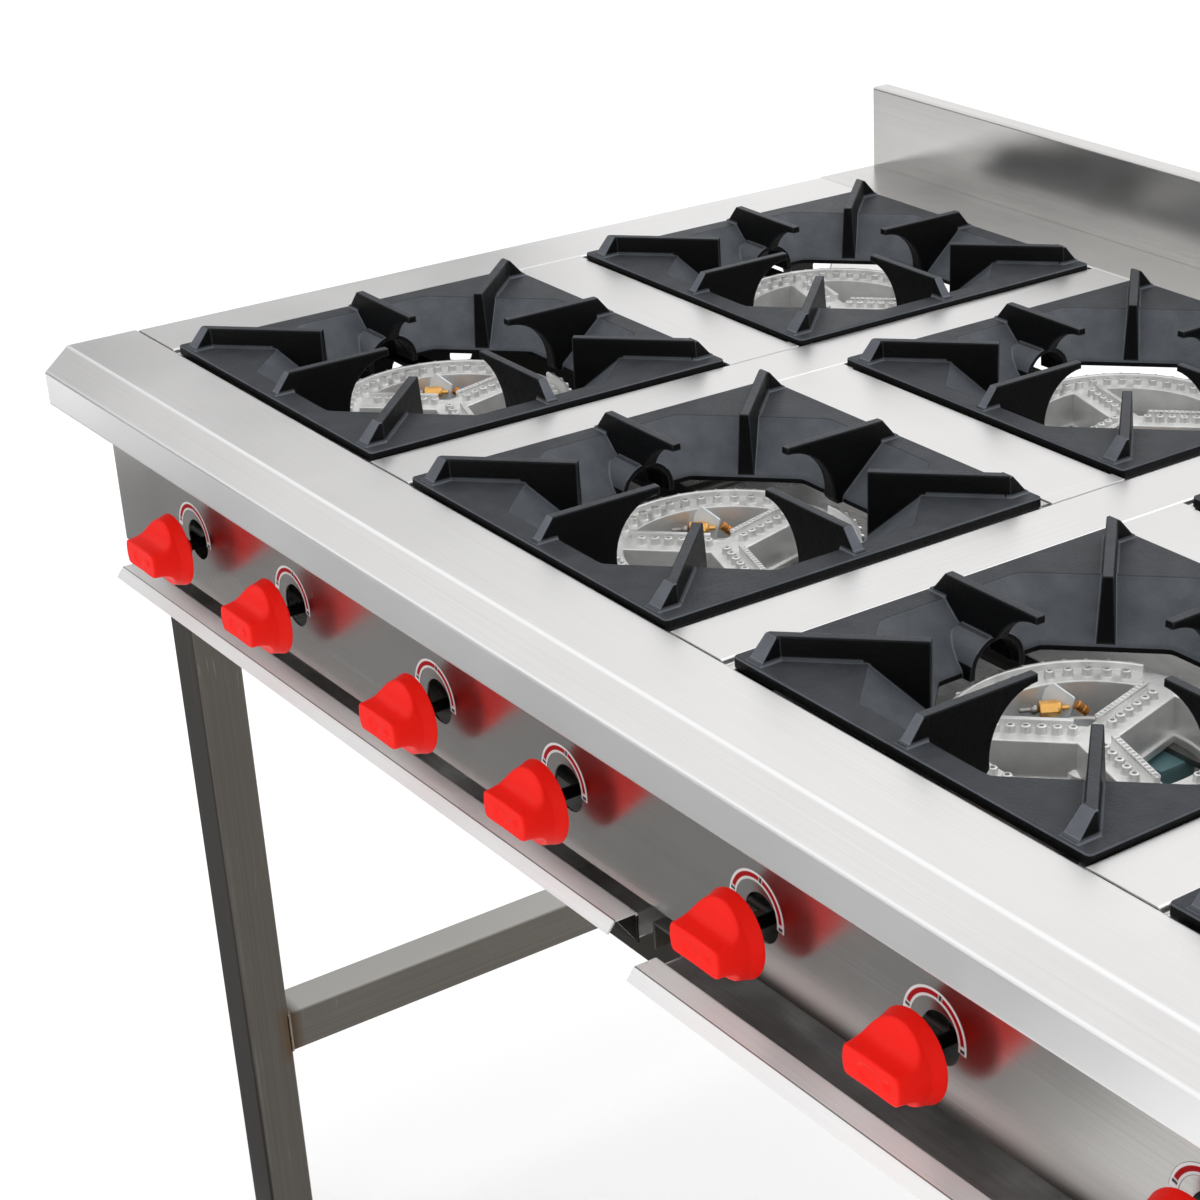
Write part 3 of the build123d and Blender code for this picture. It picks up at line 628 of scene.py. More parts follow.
# Rear strip and splash: the strip closes the deck behind the grates, and the splash is folded up,
# back and down again into a short skirt, with a plate in each end.
splash_front = 742.2
splash_steel = steel(
    "splash_steel", (0.67, 0.66, 0.645), (0.75, 0.74, 0.725), (3, 1300, 1300), rough=(0.2, 0.28),
    scratches=0.05, line_depth=0.000004, metal=0.95,
)[0]
splash_high = 73.5
skirt_low = -60.0
rear = across_stove(folded([(splash_front, 0), (pockets_back, 0), (pockets_back, ledge_low)]), 0, width)
piece("rear_sheet", [rear], splash_steel, slot="stainless", stands_for=["rear_strip"])
path = [
    (splash_back, skirt_low), (splash_back, splash_high), (splash_front, splash_high), (splash_front, tiny)
]
shells = [across_stove(folded(path), 0, width)]
for x in (0, width - sheet):
    shells.append(plate(x + tiny, x + sheet - tiny, splash_front + 1, splash_back - 1, 0, splash_high - 1.1))
piece("splash_sheet", shells, splash_steel, slot="stainless", stands_for=["backsplash"])

# Trays: shallow pans of bright sheet that slide in under the burners. The wider front is folded out
# into a flange and a sloping lip, with a gusset under each end. The floors are scoured, and painted
# shade darkens them, in clouds, behind the panel.
tray_steel, tray_tree, tray_shader, tray_tone = steel(
    "tray_steel", (0.90, 0.90, 0.90), (0.98, 0.98, 0.98), (3, 1100, 1100), rough=(0.25, 0.35), scratches=0.1,
    line_depth=0.000004, metal=0.3,
)
# Painted shade: a dark line along the fold where each flange turns down into its lip.
painted_fold_lines = [near(tray_tree, axis(tray_tree, 1), deep(y), 0.0002, 0.0006) for y in (-50.6, -70.6)]
tray_tone = mixed(tray_tree, worked(tray_tree, "MAXIMUM", *painted_fold_lines), tray_tone, (0.16, 0.16, 0.16))
feed(tray_shader, Base_Color=tray_tone)
pan_steel, pan_tree, pan_shader, pan_tone = steel(
    "pan_steel", (0.68, 0.675, 0.67), (0.86, 0.855, 0.85), (30, 520, 520), rough=(0.2, 0.36), scratches=1.0,
    metal=0.7,
)
# Painted shade: the pan floor is darkened in soft clouds behind the panel.
behind_panel = near(pan_tree, axis(pan_tree, 1), -0.285, 0.01, 0.13)
shade_clouds = scaled(pan_tree, noise(pan_tree, 16.0, 5.0), 0.35, 0.6, 0.25, 1.0)
pan_shade = worked(pan_tree, "MULTIPLY", behind_panel, shade_clouds)
feed(pan_shader, Base_Color=mixed(pan_tree, pan_shade, pan_tone, (0.07, 0.062, 0.054)))
# The gussets and the front walls under the flanges take a near-black copy of the tray steel: painted shade.
shaded_gusset_steel = steel(
    "shaded_gusset_steel", (0.04, 0.037, 0.034), (0.06, 0.056, 0.052), (60, 60, 60), scratches=0.0
)[0]
pan_low = -202.7
pan_high = -183.9
pan_left = 44.0
pan_right = 726.0
pan_back = 690.0
front_left = 25.0
front_right = 729.4
front_y = -33.7
flange_z = -179.9
right_shift = -20.0
for side in ("left", "right"):
    flange_path = [(front_y, -183), (front_y, flange_z), (-51, flange_z), (-57, -187.4)]
    front = [across_stove(folded(flange_path), front_left, front_right)]
    gussets = [plate(front_left, front_right, front_y - sheet, front_y, pan_low, -182.95)] + [
        across_stove([(-35.3, -201), (-35.3, -181.3), (-49, -181.3)], x + 0.1, x + sheet - 0.1)
        for x in (front_left, front_right - sheet)
    ]
    pan_path = [(pan_left, pan_high), (pan_left, pan_low), (pan_right, pan_low), (pan_right, pan_high)]
    pan = [
        into_stove(folded(pan_path), -35, pan_back),
        plate(pan_left + 1.4, pan_right - 1.4, pan_back - sheet, pan_back, pan_low + 1.4, pan_high),
    ]
    node = f"tray_{side}"
    for name, shells, finish, stands_for in (
        (node + "_front", front, tray_steel, []), (node + "_gussets", gussets, shaded_gusset_steel, []),
        (node + "_pan", pan, pan_steel, [node]),
    ):
        if side == "right":
            shells = mirrored(shells, right_shift)
        piece(name, shells, finish, body=node, slot="tray_steel", stands_for=stands_for)

# Burners: cast rings with three spokes, silver-coated against rust. Each has a rim broken at two
# spokes, bosses drilled with flame ports, a bar on each spoke and nibs under the rim outside.
ring_outer = 90.0
ring_inner = 70.0
ring_floor = -38.0
ring_top = -33.0
ring_ledge = -62.0
ring_low = -68.0
burner_finish, burner_tree, burner_shader = shader("burner_coat", Metallic=0.8, Roughness=0.38)
burner_cloud = scaled(burner_tree, noise(burner_tree, 45.0), 0.3, 0.7, 0.0, 1.0)
feed(
    burner_shader, Base_Color=mixed(burner_tree, burner_cloud, (0.72, 0.72, 0.71), (0.88, 0.88, 0.87)),
    Normal=relief(burner_tree, noise(burner_tree, 900.0, 4.0), 0.00025, Normal=rounded(burner_tree, 0.0008)),
)


def set_in(shell, origin=(0, 0, 0), u=x_way, v=y_way, w=z_way):
    """A shell turned so that its own axes lie along u, v and w, and moved to the origin point."""
    points, faces = shell
    return points @ np.array([u, v, w], float) + origin, faces


def lathe(profile, sides, sweep=None):
    """A profile of radius and height turned about the upright axis: r cos t, r sin t, z. A sweep
    in degrees stops short of a full turn, and then the profile is closed and ends in flat cuts."""
    r, z = np.asarray(profile, float).T
    turn = np.radians(np.linspace(*sweep, sides)) if sweep else np.linspace(0, 2 * np.pi, sides + 1)[:-1]
    c, s = np.cos(turn)[:, None], np.sin(turn)[:, None]
    rings = np.stack([r * c, r * s, np.broadcast_to(z, (len(turn), len(r)))], -1)
    if sweep:
        return carried(rings)
    return rings.reshape(-1, 3), [grid(sides, len(r), True, True)]


def spindle(profile, sides):
    """A profile turned about the axis whose first and last ring are closed by flat discs."""
    r, z = np.asarray(profile, float).T
    turn = np.linspace(0, 2 * np.pi, sides + 1)[:-1]
    rings = np.stack([
        r[:, None] * np.cos(turn), r[:, None] * np.sin(turn), np.broadcast_to(z[:, None], (len(r), sides))
    ], -1)
    return carried(rings)


def slab(outline, low, high, edge=1.0, steps=3):
    """A plate with this outline, its rims rounded: layers whose inset is edge times one less the
    sine, and whose rise is edge times one less the cosine, over a quarter turn."""
    outline = np.asarray(outline, float)
    run = np.roll(outline, -1, 0) - outline
    run /= np.hypot(*run.T)[:, None]
    out = np.stack([run[:, 1], -run[:, 0]], -1)
    before = np.roll(out, 1, 0)
    mitre = (out + before) / (1 + (out * before).sum(1))[:, None]
    quarter = np.linspace(0, np.pi / 2, steps + 1)
    inset, rise = edge * (1 - np.sin(quarter)), edge * (1 - np.cos(quarter))
    inset, level = np.concatenate((inset, inset[::-1])), np.concatenate((low + rise, (high - rise)[::-1]))
    flat = outline[None] - inset[:, None, None] * mitre[None]
    rings = np.concatenate((flat, np.broadcast_to(level[:, None, None], (len(level), len(outline), 1))), -1)
    return carried(rings)


def turned_about(shell, degrees):
    """A shell turned about the upright axis."""
    c, s = math.cos(math.radians(degrees)), math.sin(math.radians(degrees))
    return set_in(shell, u=(c, s, 0), v=(-s, c, 0))


boss = [(3.7, -38.4), (3.4, -37.6), (3.2, -34.2), (3.0, -33.3), (2.5, ring_top), (1.5, ring_top)]
boss = spindle(boss + [(1.4, -37.0)], 10)
nib = spindle([(2.5, -1.0), (2.4, 0.8), (1.9, 1.6), (1.0, 2.0)], 8)
ring_body = lathe(
    [
        (ring_inner - 1.6, ring_low), (ring_outer - 1, ring_low), (ring_outer, ring_low + 1),
        (ring_outer, ring_floor - 0.8), (ring_outer - 0.8, ring_floor), (ring_inner + 1.0, ring_floor),
        (ring_inner + 0.3, ring_floor - 0.3), (ring_inner, ring_floor - 1.0),
        (ring_inner - 0.2, ring_ledge + 0.6), (ring_inner - 0.6, ring_ledge),
        (ring_inner - 1.6, ring_ledge - 0.3), (ring_inner - 2, ring_ledge - 1),
    ],
    144,
)


def oblong(x0, x1, middle, half):
    """Four corners of a strip between two places, as wide as twice half."""
    return [(x0, middle - half), (x1, middle - half), (x1, middle + half), (x0, middle + half)]


burner_shells = [ring_body]
bar_start, bar_stop, bar_half = 13, 67, 2.0
for number, (spoke, half, middle, boss_side, bar_side) in enumerate((
    (-2, 11.5, -3.0, -5.2, 5.0), (120, 10.75, -1.2, -2.8, 7.0), (240, 10.95, 0.7, 1.0, -8.0)
)):
    drop = 0.03 * number
    plain = number == 2
    arm = eased(oblong(-6, 77, middle, half), 1.5)[0]
    foot = eased(oblong(-7, 76, middle, half + 2), 1.5)[0]
    bar = eased(oblong(bar_start, bar_stop, bar_side, bar_half), 0.6, 2)[0]
    parts = [
        slab(arm, ring_ledge - 1, ring_floor - drop - 0.02, 0.9),
        slab(foot, ring_low + drop + 0.02, ring_ledge - drop, 0.9),
        slab(bar, ring_floor - 0.5, ring_top - (0.2 if plain else 1.3), 0.5, 2),
    ]
    if not plain:
        for x in 15.2 + 3.95 * np.arange(13):
            tooth = oblong(x - 1.15, x + 1.15, bar_side, bar_half)
            parts.append(slab(tooth, ring_top - 2, ring_top, 0.35, 1))
        for edge_side in (bar_side - 1.65, bar_side + 1.65):
            rail = oblong(bar_start, bar_stop, edge_side, 0.35)
            parts.append(slab(rail, ring_top - 2, ring_top - 0.02, 0.2, 1))
    parts += [set_in(boss, (13 + 9.1 * step, boss_side, 0)) for step in range(6)]
    burner_shells += [turned_about(part, spoke) for part in parts]
rim = [(87.0, -39), (90.0, -39), (90.0, -33.7), (89.3, ring_top), (87.7, ring_top), (87.0, -33.7)]
port_pitch = 8.57
for first, last, bosses in ((13, 107, 11), (133, 347, 25)):
    burner_shells.append(lathe(rim, 40 if bosses == 11 else 90, (first, last)))
    for angle in first + 5.55 + port_pitch * np.arange(bosses):
        burner_shells.append(turned_about(set_in(boss, (78.0, 0, 0)), angle))
        burner_shells.append(turned_about(set_in(nib, (90, 0, -35.3), y_way, z_way, x_way), angle))
hub = spindle([(19, ring_low), (19, ring_ledge + 4), (17, ring_ledge + 6)], 40)
burner_shells.append(hub)
places = [(column, row) for row in (0, 1) for column in range(columns)]
row_names = ("front", "back")
for column, row in places:
    spot = (column_x(column), row_y(row), 0)
    shells = [set_in(turned_about(shell, -75 if row else -15), spot) for shell in burner_shells]
    node = f"burner_{row_names[row]}_{column + 1}"
    piece(node + "_cast", shells, burner_finish, slot="burner_iron", stands_for=[node])

# Gas way and bars: plain pieces that keep their own solids. Drawn pipe, brass valves and jets
# that have gone dark, cast mixing tubes, flat bars under the burners and blackened stems.
pipe_steel = steel(
    "pipe_steel", (0.16, 0.16, 0.155), (0.24, 0.235, 0.225), (60, 60, 60), rough=(0.35, 0.5), scratches=0.2
)[0]
dressed(pipe_steel, "gas_manifold", "gas_lines", "burner_bars", "mixing_tubes")
tarnish_finish = mottled(
    "tarnished_brass", (0.008, 0.006, 0.004), (0.03, 0.02, 0.01), 200.0, Metallic=0.6, Roughness=0.6
)[0]
dressed(tarnish_finish, "injectors", "valves")
stem_steel = steel(
    "stem_steel", (0.006, 0.006, 0.006), (0.012, 0.012, 0.012), (500, 20, 500), rough=(0.5, 0.6),
    scratches=0.0,
)[0]
dressed(stem_steel, *[f"stem_{i + 1}" for i in knobs])

# Pilots: beside each hub a brass nut with a nickel ball and a thin tip before a shield of bright
# zinc plate, and a copper collar behind its edge. The plate stands on an arm under the bar.
brass_finish, brass_tree, brass_shader, _ = mottled(
    "brass", (0.85, 0.42, 0.09), (1.0, 0.60, 0.20), 400.0, Metallic=0.7, Roughness=0.25
)
feed(brass_shader, Normal=rounded(brass_tree, 0.0005))
speckle = (200, 200, 200)
copper_steel = steel("copper_collar", (0.55, 0.22, 0.05), (0.80, 0.36, 0.10), speckle, scratches=0.0)[0]
nickel_steel = steel("nickel_tip", (0.30, 0.29, 0.27), (0.45, 0.44, 0.42), speckle, scratches=0.0)[0]
zinc_steel = steel(
    "zinc_plate", (0.80, 0.87, 0.92), (0.90, 0.96, 1.0), (60, 60, 60), rough=(0.4, 0.5), scratches=0.1,
    metal=0.0,
)[0]
shield = [(-5.3, -5.4), (-7.5, -15.1), (-4, -38.5), (9, -38.5), (10.4, -22.9), (13.7, -7.8), (0, 0)]
shield = slab(eased(shield, 1.2, 3)[0], -1.5, 0, 0.3, 2)
bolt_turn = np.arange(6) * np.pi / 3
hexagon = np.stack([5.1 * np.cos(bolt_turn), 5.1 * np.sin(bolt_turn)], -1)
nut = slab(eased(hexagon, 0.3, 2)[0], -6.2, 5.0, 0.6, 2)
nut_end = spindle([(4.4, 4.5), (4.4, 6.2), (3.6, 7.2), (1.6, 7.6), (1.6, 12)], 24)
tip = spindle([(1.1, -18.4), (1.5, -18.0), (1.6, -10), (1.6, -6)], 16)
ball_turn = np.radians(np.linspace(-80, 80, 11))
ball = spindle(np.stack([3.1 * np.cos(ball_turn), 3.1 * np.sin(ball_turn) - 9.0], -1), 24)
collar = [(2.6, -4.5), (3.2, -4.0), (3.2, -0.6), (2.9, -0.3)]
collar = spindle(collar + [(radius, -z) for radius, z in reversed(collar)], 24)
dip = math.radians(42)
level_way, dip_way = (0, math.cos(dip), math.sin(dip)), (0, -math.sin(dip), math.cos(dip))
collar = set_in(collar, (0.7, -1.5, 19.8), x_way, level_way, dip_way)


def beside_hub(shell, column, row, place, facing):
    """A shell whose own third axis is turned to face an angle, set beside a hub; the back row is
    turned half round."""
    sign = -1 if row else 1
    c, s = sign * math.cos(math.radians(facing)), sign * math.sin(math.radians(facing))
    spot = (column_x(column) + sign * place[0], row_y(row) + sign * place[1], place[2])
    return set_in(shell, spot, (-s, c, 0), z_way, (c, s, 0))


nut_place = (-54.6, 13.7, -47.0)
nut_facing = 59
shields, brasses, tips, collars = [], [], [], []
for column, row in places:
    sign = -1 if row else 1
    shields.append(beside_hub(shield, column, row, (-58.5, 19.9, -33.5), -60))
    arm_x = sorted(column_x(column) + sign * x for x in (-64.0, -46.0))
    arm_y = sorted(row_y(row) + sign * y for y in (16.0, 77.0))
    shields.append(plate(*arm_x, *arm_y, -73.5, -72.0))
    for shells, parts in ((brasses, (nut, nut_end)), (tips, (tip, ball)), (collars, (collar,))):
        shells += [beside_hub(part, column, row, nut_place, nut_facing) for part in parts]
piece("pilot_shields", shields, zinc_steel, slot="zinc_plate", stands_for=["pilot_brackets"])
piece("pilot_nuts", brasses, brass_finish, slot="brass", stands_for=["pilot_burners"])
piece("pilot_tips", tips, nickel_steel, slot="brass")
piece("pilot_collars", collars, copper_steel, slot="brass")

# Spark unit: a small teal plastic box under the rear bar of the third front burner, with rounded
# corners and a lid whose edge stands out a little.
box_finish = mottled("box_plastic", (0.10, 0.20, 0.22), (0.14, 0.26, 0.28), 5000.0, Roughness=0.35)[0]
box_x, box_y = column_x(2) + 2.5, row_y(0) + 57.5
box_shells = []
for grow, low, high, ease in ((-0.5, -94, -76.4, 0.7), (0.0, -76.0, -72.0, 0.7), (0.0, -77.5, -75, 0.2)):
    outline = oblong(-9.5 - grow, 9.5 + grow, 0, 15.5 + grow)
    share = 0.97 if high == -75 else 1.0
    box_shells.append(set_in(slab(eased(outline, 2.0, 5)[0] * share, low, high, ease), (box_x, box_y, 0)))
piece("spark_box_case", box_shells, box_finish, slot="box_plastic", stands_for=["spark_box"])

# Grates: heavy iron castings under black enamel, dropped loose into the pockets. A square plate
# dips into an eight-sided bowl with an arch on its left, under four fingers and four ridges.
rib_half = 3.5
rib_top = 19.0
plate_top = 4.2
foot_top = 134.5
foot_end = 147.2
ridge_bend = 132.5
grate_shifts = (
    ((0.6, 0.2), (-2.2, -1.1), (2.6, 0.9), (-0.6, -0.2)), ((2.6, -0.9), (-2.6, 0), (0.5, 2.4), (0, 0))
)
grate_finish, grate_tree, grate_shader = shader("grate_enamel", Specular_IOR_Level=0.12)
grate_pits = noise(grate_tree, 520.0, 5.0, roughness=0.7)
grate_waves = noise(grate_tree, 60.0)
grate_edge = rounded(grate_tree, 0.0016, 6)
grate_flat = add(grate_tree, "ShaderNodeNewGeometry").outputs["Normal"]
grate_turn = add(grate_tree, vector_math, {0: grate_edge, 1: grate_flat}, operation="DOT_PRODUCT")
grate_turn = grate_turn.outputs["Value"]
# The face tones are painted light and shade: black upright sides, lighter upward faces and feet.
grate_light_and_wear = add(grate_tree, "ShaderNodeAttribute", attribute_name="tone").outputs["Fac"]
# Rounded edges are lightened: painted highlight along the edges, with the enamel rubbed there too.
grate_edge_light = scaled(grate_tree, grate_turn, 0.995, 0.86, 0.0, 0.07)
grate_mottle = scaled(grate_tree, grate_waves, 0.3, 0.7, 0.85, 1.15)
grate_level = worked(grate_tree, "ADD", worked(grate_tree, "MULTIPLY", grate_light_and_wear, grate_mottle), grate_edge_light)
grate_skin = worked(grate_tree, "ADD", grate_pits, grate_waves)
feed(
    grate_shader, Base_Color=worked(grate_tree, "MULTIPLY", grate_level, (0.90, 0.98, 1.12), vector_math),
    Roughness=scaled(grate_tree, grate_pits, 0.3, 0.7, 0.32, 0.46),
    Normal=relief(grate_tree, grate_skin, 0.0008, Strength=0.7, Normal=grate_edge),
)


def many_sided(turn, sides, flat, corner):
    """Distance from the middle to a regular outline with rounded corners: the flats are at flat over
    the cosine of the angle from their middles, and near a corner an arc of radius corner, whose own
    centre lies on the corner's line, takes over."""
    half = np.pi / sides
    from_corner = (turn % (2 * half)) - half
    reach = (flat - corner) / math.cos(half)
    straight = flat / np.cos(half - np.abs(from_corner))
    arc = reach * np.cos(from_corner) + np.sqrt(np.maximum(corner**2 - (reach * np.sin(from_corner)) ** 2, 0))
    limit = half - math.atan2((flat - corner) * math.tan(half), flat)
    return np.where(np.abs(from_corner) < limit, arc, straight)


dish_turn = np.radians(np.sort(np.concatenate((np.arange(0, 360, 2.5), *[
    np.array((-0.55, -0.25, 0.25, 0.55)) + 45 + 90 * k for k in range(4)
]))))
dish_rings = []
for sides, flat, corner, z in (
    (4, 149.0, 2.0, -3.8), (4, 150.0, 3.0, -2.8), (4, 150.0, 3.0, 3.0), (4, 149.6, 2.6, 3.9),
    (4, 148.8, 2.0, 4.2), (4, 148.2, 2.0, 4.2), (8, 134.2, 8.9, 4.2), (8, 133.6, 8.7, 4.15),
    (8, 132.6, 8.4, 3.8), (8, 131.9, 8.2, 3.2), (8, 131.1, 8.0, 2.2), (8, 130.0, 8.0, 1.3),
    (8, 98.2, 6.0, -24.7), (8, 97.2, 6.0, -25.5), (8, 96.4, 6.0, -27.5), (8, 96.0, 6.0, -29.8),
    (8, 96.4, 6.0, -30.7), (8, 97.3, 6.0, -31.0), (8, 100.4, 8.0, -31.0), (8, 101.3, 8.0, -30.4),
    (8, 101.7, 8.0, -28.5), (8, 102.6, 8.0, -26.5), (8, 134.8, 10.0, -4.6), (8, 137.5, 10.0, -3.8),
):
    reach = many_sided(dish_turn, sides, flat, corner)
    ring = [reach * np.cos(dish_turn), reach * np.sin(dish_turn), np.full_like(reach, z)]
    dish_rings.append(np.stack(ring, -1))
dish = carried(dish_rings, round_rows=True)
arch_turn = np.linspace(0, np.pi, 25)
arch_z = -27
arch_radius = 17.5
hood_radius = 21.5


def arch(radius):
    """Points on a half circle over the arch, from its right end to its left."""
    return radius * np.stack([np.cos(arch_turn), np.sin(arch_turn)], -1) + (0, arch_z)


arch_hole = np.concatenate((arch(arch_radius), [(-arch_radius, -60), (arch_radius, -60)]))
arch_tool = along_line(arch_hole, y_way, z_way, (-70, 0, 0), (-150, 0, 0))
dish_object = piece("dish_blank", [dish], None, cut=[arch_tool])
dish_mesh = dish_object.data
dish_points = np.empty(len(dish_mesh.vertices) * 3)
dish_mesh.vertices.foreach_get("co", dish_points)
dish_points = dish_points.reshape(-1, 3) * 1000 - framed([(0, 0, 0)]) * 1000
dish_faces = [np.array([list(face.vertices)]) for face in dish_mesh.polygons]
bpy.data.objects.remove(dish_object)
hood_ring = np.concatenate((
    arch(hood_radius), [(-hood_radius, -31), (-arch_radius, -31)],
    arch(arch_radius)[::-1], [(arch_radius, -31), (hood_radius, -31)],
))
hood = set_in(slab(hood_ring, 89, 117, 0.8, 2), (0, 0, 0), -y_way, z_way, -x_way)


def half_at(z):
    """Half a rib's thickness at a height: 3.5 at the top and 0.0565 more for each mm down."""
    return rib_half + 0.0565 * (rib_top - z)


def rib(outline, degrees):
    """A rib stood on edge at an angle: its outline in reach and height, and its sides scaled by half
    the thickness at each height over that at the top."""
    points, faces = slab(outline, -rib_half, rib_half, 1.0, 3)
    points[:, 2] *= half_at(points[:, 1]) / rib_half
    return turned_about(set_in((points, faces), (0, 0, 0), x_way, z_way, -y_way), degrees)


def ridge_outline(half, inner, end):
    """Plan of a ridge: a band along the diagonal from its inner end to the bend, then straight on in
    y to its end. Its edges are at half the thickness times the square root of two from the middle."""
    slant = half * math.sqrt(2)
    a, b = (inner - half) / math.sqrt(2), (inner + half) / math.sqrt(2)
    return [(a, b), (b, a), (ridge_bend + slant, ridge_bend), (ridge_bend + slant, end),
            (ridge_bend - slant, end), (ridge_bend - slant, ridge_bend)]


def layers(outlines):
    """Flat outlines with heights, joined from the lowest up."""
    return carried([np.column_stack((outline, np.full(len(outline), z))) for outline, z in outlines])


ridge_layers = []
for z in (-27.0, -14.0, -3.0, 1.5):
    wall = max(97.2 + 1.224 * (z + 25.5), 97.2) + 2.5
    r, far, mid = half_at(z) / math.sqrt(2), wall / math.sqrt(2), (wall - 0.8) / math.sqrt(2)
    a, b = 97 / math.sqrt(2) - r, 97 / math.sqrt(2) + r
    right, left = [(mid + r, mid - r), (far + r, far - r)], [(far - r, far + r), (mid - r, mid + r)]
    ridge_layers.append(([(a, b), (b, a)] + right + left, z))
for z in (3.9, plate_top, 8.0, 13.0, 18.0, 18.5, 18.85, rib_top):
    over = max(z - 18.0, 0.0)
    inset = 1.0 - math.sqrt(1.0 - over**2)
    share = (max(z, plate_top) - plate_top) / (rib_top - plate_top)
    end = foot_end - (foot_end - foot_top) * share - 0.6 * inset
    ridge_layers.append((ridge_outline(half_at(z) - inset, 97 + 0.6 * inset, end), z))
corner_ridge = layers(ridge_layers)
fillet = [(3.9, 1.0), (4.5, 0.5), (5.1, 0.15), (5.9, 0.0)]
ridge_fillet = layers([
    (ridge_outline(half_at(z) + grow, 189, foot_end + grow * 0.6), z) for z, grow in fillet
])
band_fillet = layers([
    ([(a, b), (b, a), (ridge_bend + r, ridge_bend - r), (ridge_bend - r, ridge_bend + r)], z)
    for z, grow in fillet
    for r in [(half_at(z) + grow) / math.sqrt(2)]
    for a, b in [(96.2 - r, 96.2 + r)]
])
foot_fillet = layers([
    ([(132, -half_at(z) - grow), (foot_end + grow * 0.3, -half_at(z) - grow),
      (foot_end + grow * 0.3, half_at(z) + grow), (132, half_at(z) + grow)], z)
    for z, grow in fillet
])
under = np.radians(np.linspace(90, -6, 13))
under = [(52 + 37 * math.cos(a), -23 + 37 * math.sin(a)) for a in under]
seat = [(133.5, 0), (foot_end, 0), (foot_end, 3.6), (foot_top, rib_top), (52, rib_top)]
finger = under + [(92.5, -31), (99, -31), (100, -27)] + seat
short_finger = [point for point in under if point[1] > -8] + [(118, -8)] + seat
grate_shells = [(dish_points, dish_faces), hood]
grate_shells += [rib(finger, angle) for angle in (0, 90, 270)] + [rib(short_finger, 180)]
grate_shells += [turned_about(foot_fillet, angle) for angle in (0, 90, 180, 270)]
grate_shells += [
    (points * (side_x, side_y, 1), faces)
    for points, faces in (corner_ridge, ridge_fillet, band_fillet) for side_x in (-1, 1) for side_y in (-1, 1)
]


def toned(mesh, spot):
    """Stores how light the enamel is on each face by the way it looks, which paints light and shade: black
    on upright sides, dark grey on upward faces and where pans rub, greyer in the rough bowl, and palest
    on the worn feet and the fillets round them, where painted highlight is added to the wear."""
    count = len(mesh.polygons)
    facing, middle = np.empty(count * 3), np.empty(count * 3)
    mesh.polygons.foreach_get("normal", facing)
    mesh.polygons.foreach_get("center", middle)
    up = facing.reshape(-1, 3)[:, 2]
    x, y, z = (middle.reshape(-1, 3) * 1000 - framed([spot]) * 1000).T
    reach = np.maximum(np.abs(x), np.abs(y))
    tone = np.select(
        [(up > 0.9) & (z > 18.5), up > 0.9, (up > 0.4) & (z > 4.0) & (reach > 134),
         (up > 0.1) & (z > 3.9) & (z < 6.5), (up > 0.25) & (z < 4.2)],
        [0.048, 0.046, 0.12, 0.06, 0.100], 0.002,
    )
    layer = mesh.attributes.new("tone", "FLOAT", "FACE")
    layer.data.foreach_set("value", tone.astype(np.float32))


for column, row in places:
    shift_x, shift_y = grate_shifts[row][column]
    spot = (column_x(column) + shift_x, row_y(row) + shift_y, 0)
    node = f"grate_{row_names[row]}_{column + 1}"
    shells = [set_in(shell, spot) for shell in grate_shells]
    named = {"body": node, "slot": "grate_iron", "stands_for": [node]}
    obj = piece(node + "_cast", shells, grate_finish, crease=40, **named)
    toned(obj.data, spot)

# Knobs: glossy red mouldings. A round skirt is scooped above and below into a straight grip with a
# flat end, which has a shallow oval and a small round mark. Hollow behind, round a plain hub.
knob_reach = 48.0
knob_depth = 30.0
knob_finish, knob_tree, knob_shader, _ = mottled(
    "knob_red", (0.93, 0.010, 0.005), (1.0, 0.013, 0.006), 1060.0, Roughness=0.3, Specular_IOR_Level=0.14
)
feed(knob_shader, Normal=relief(knob_tree, noise(knob_tree, 8900.0, 2.0), 0.00006))


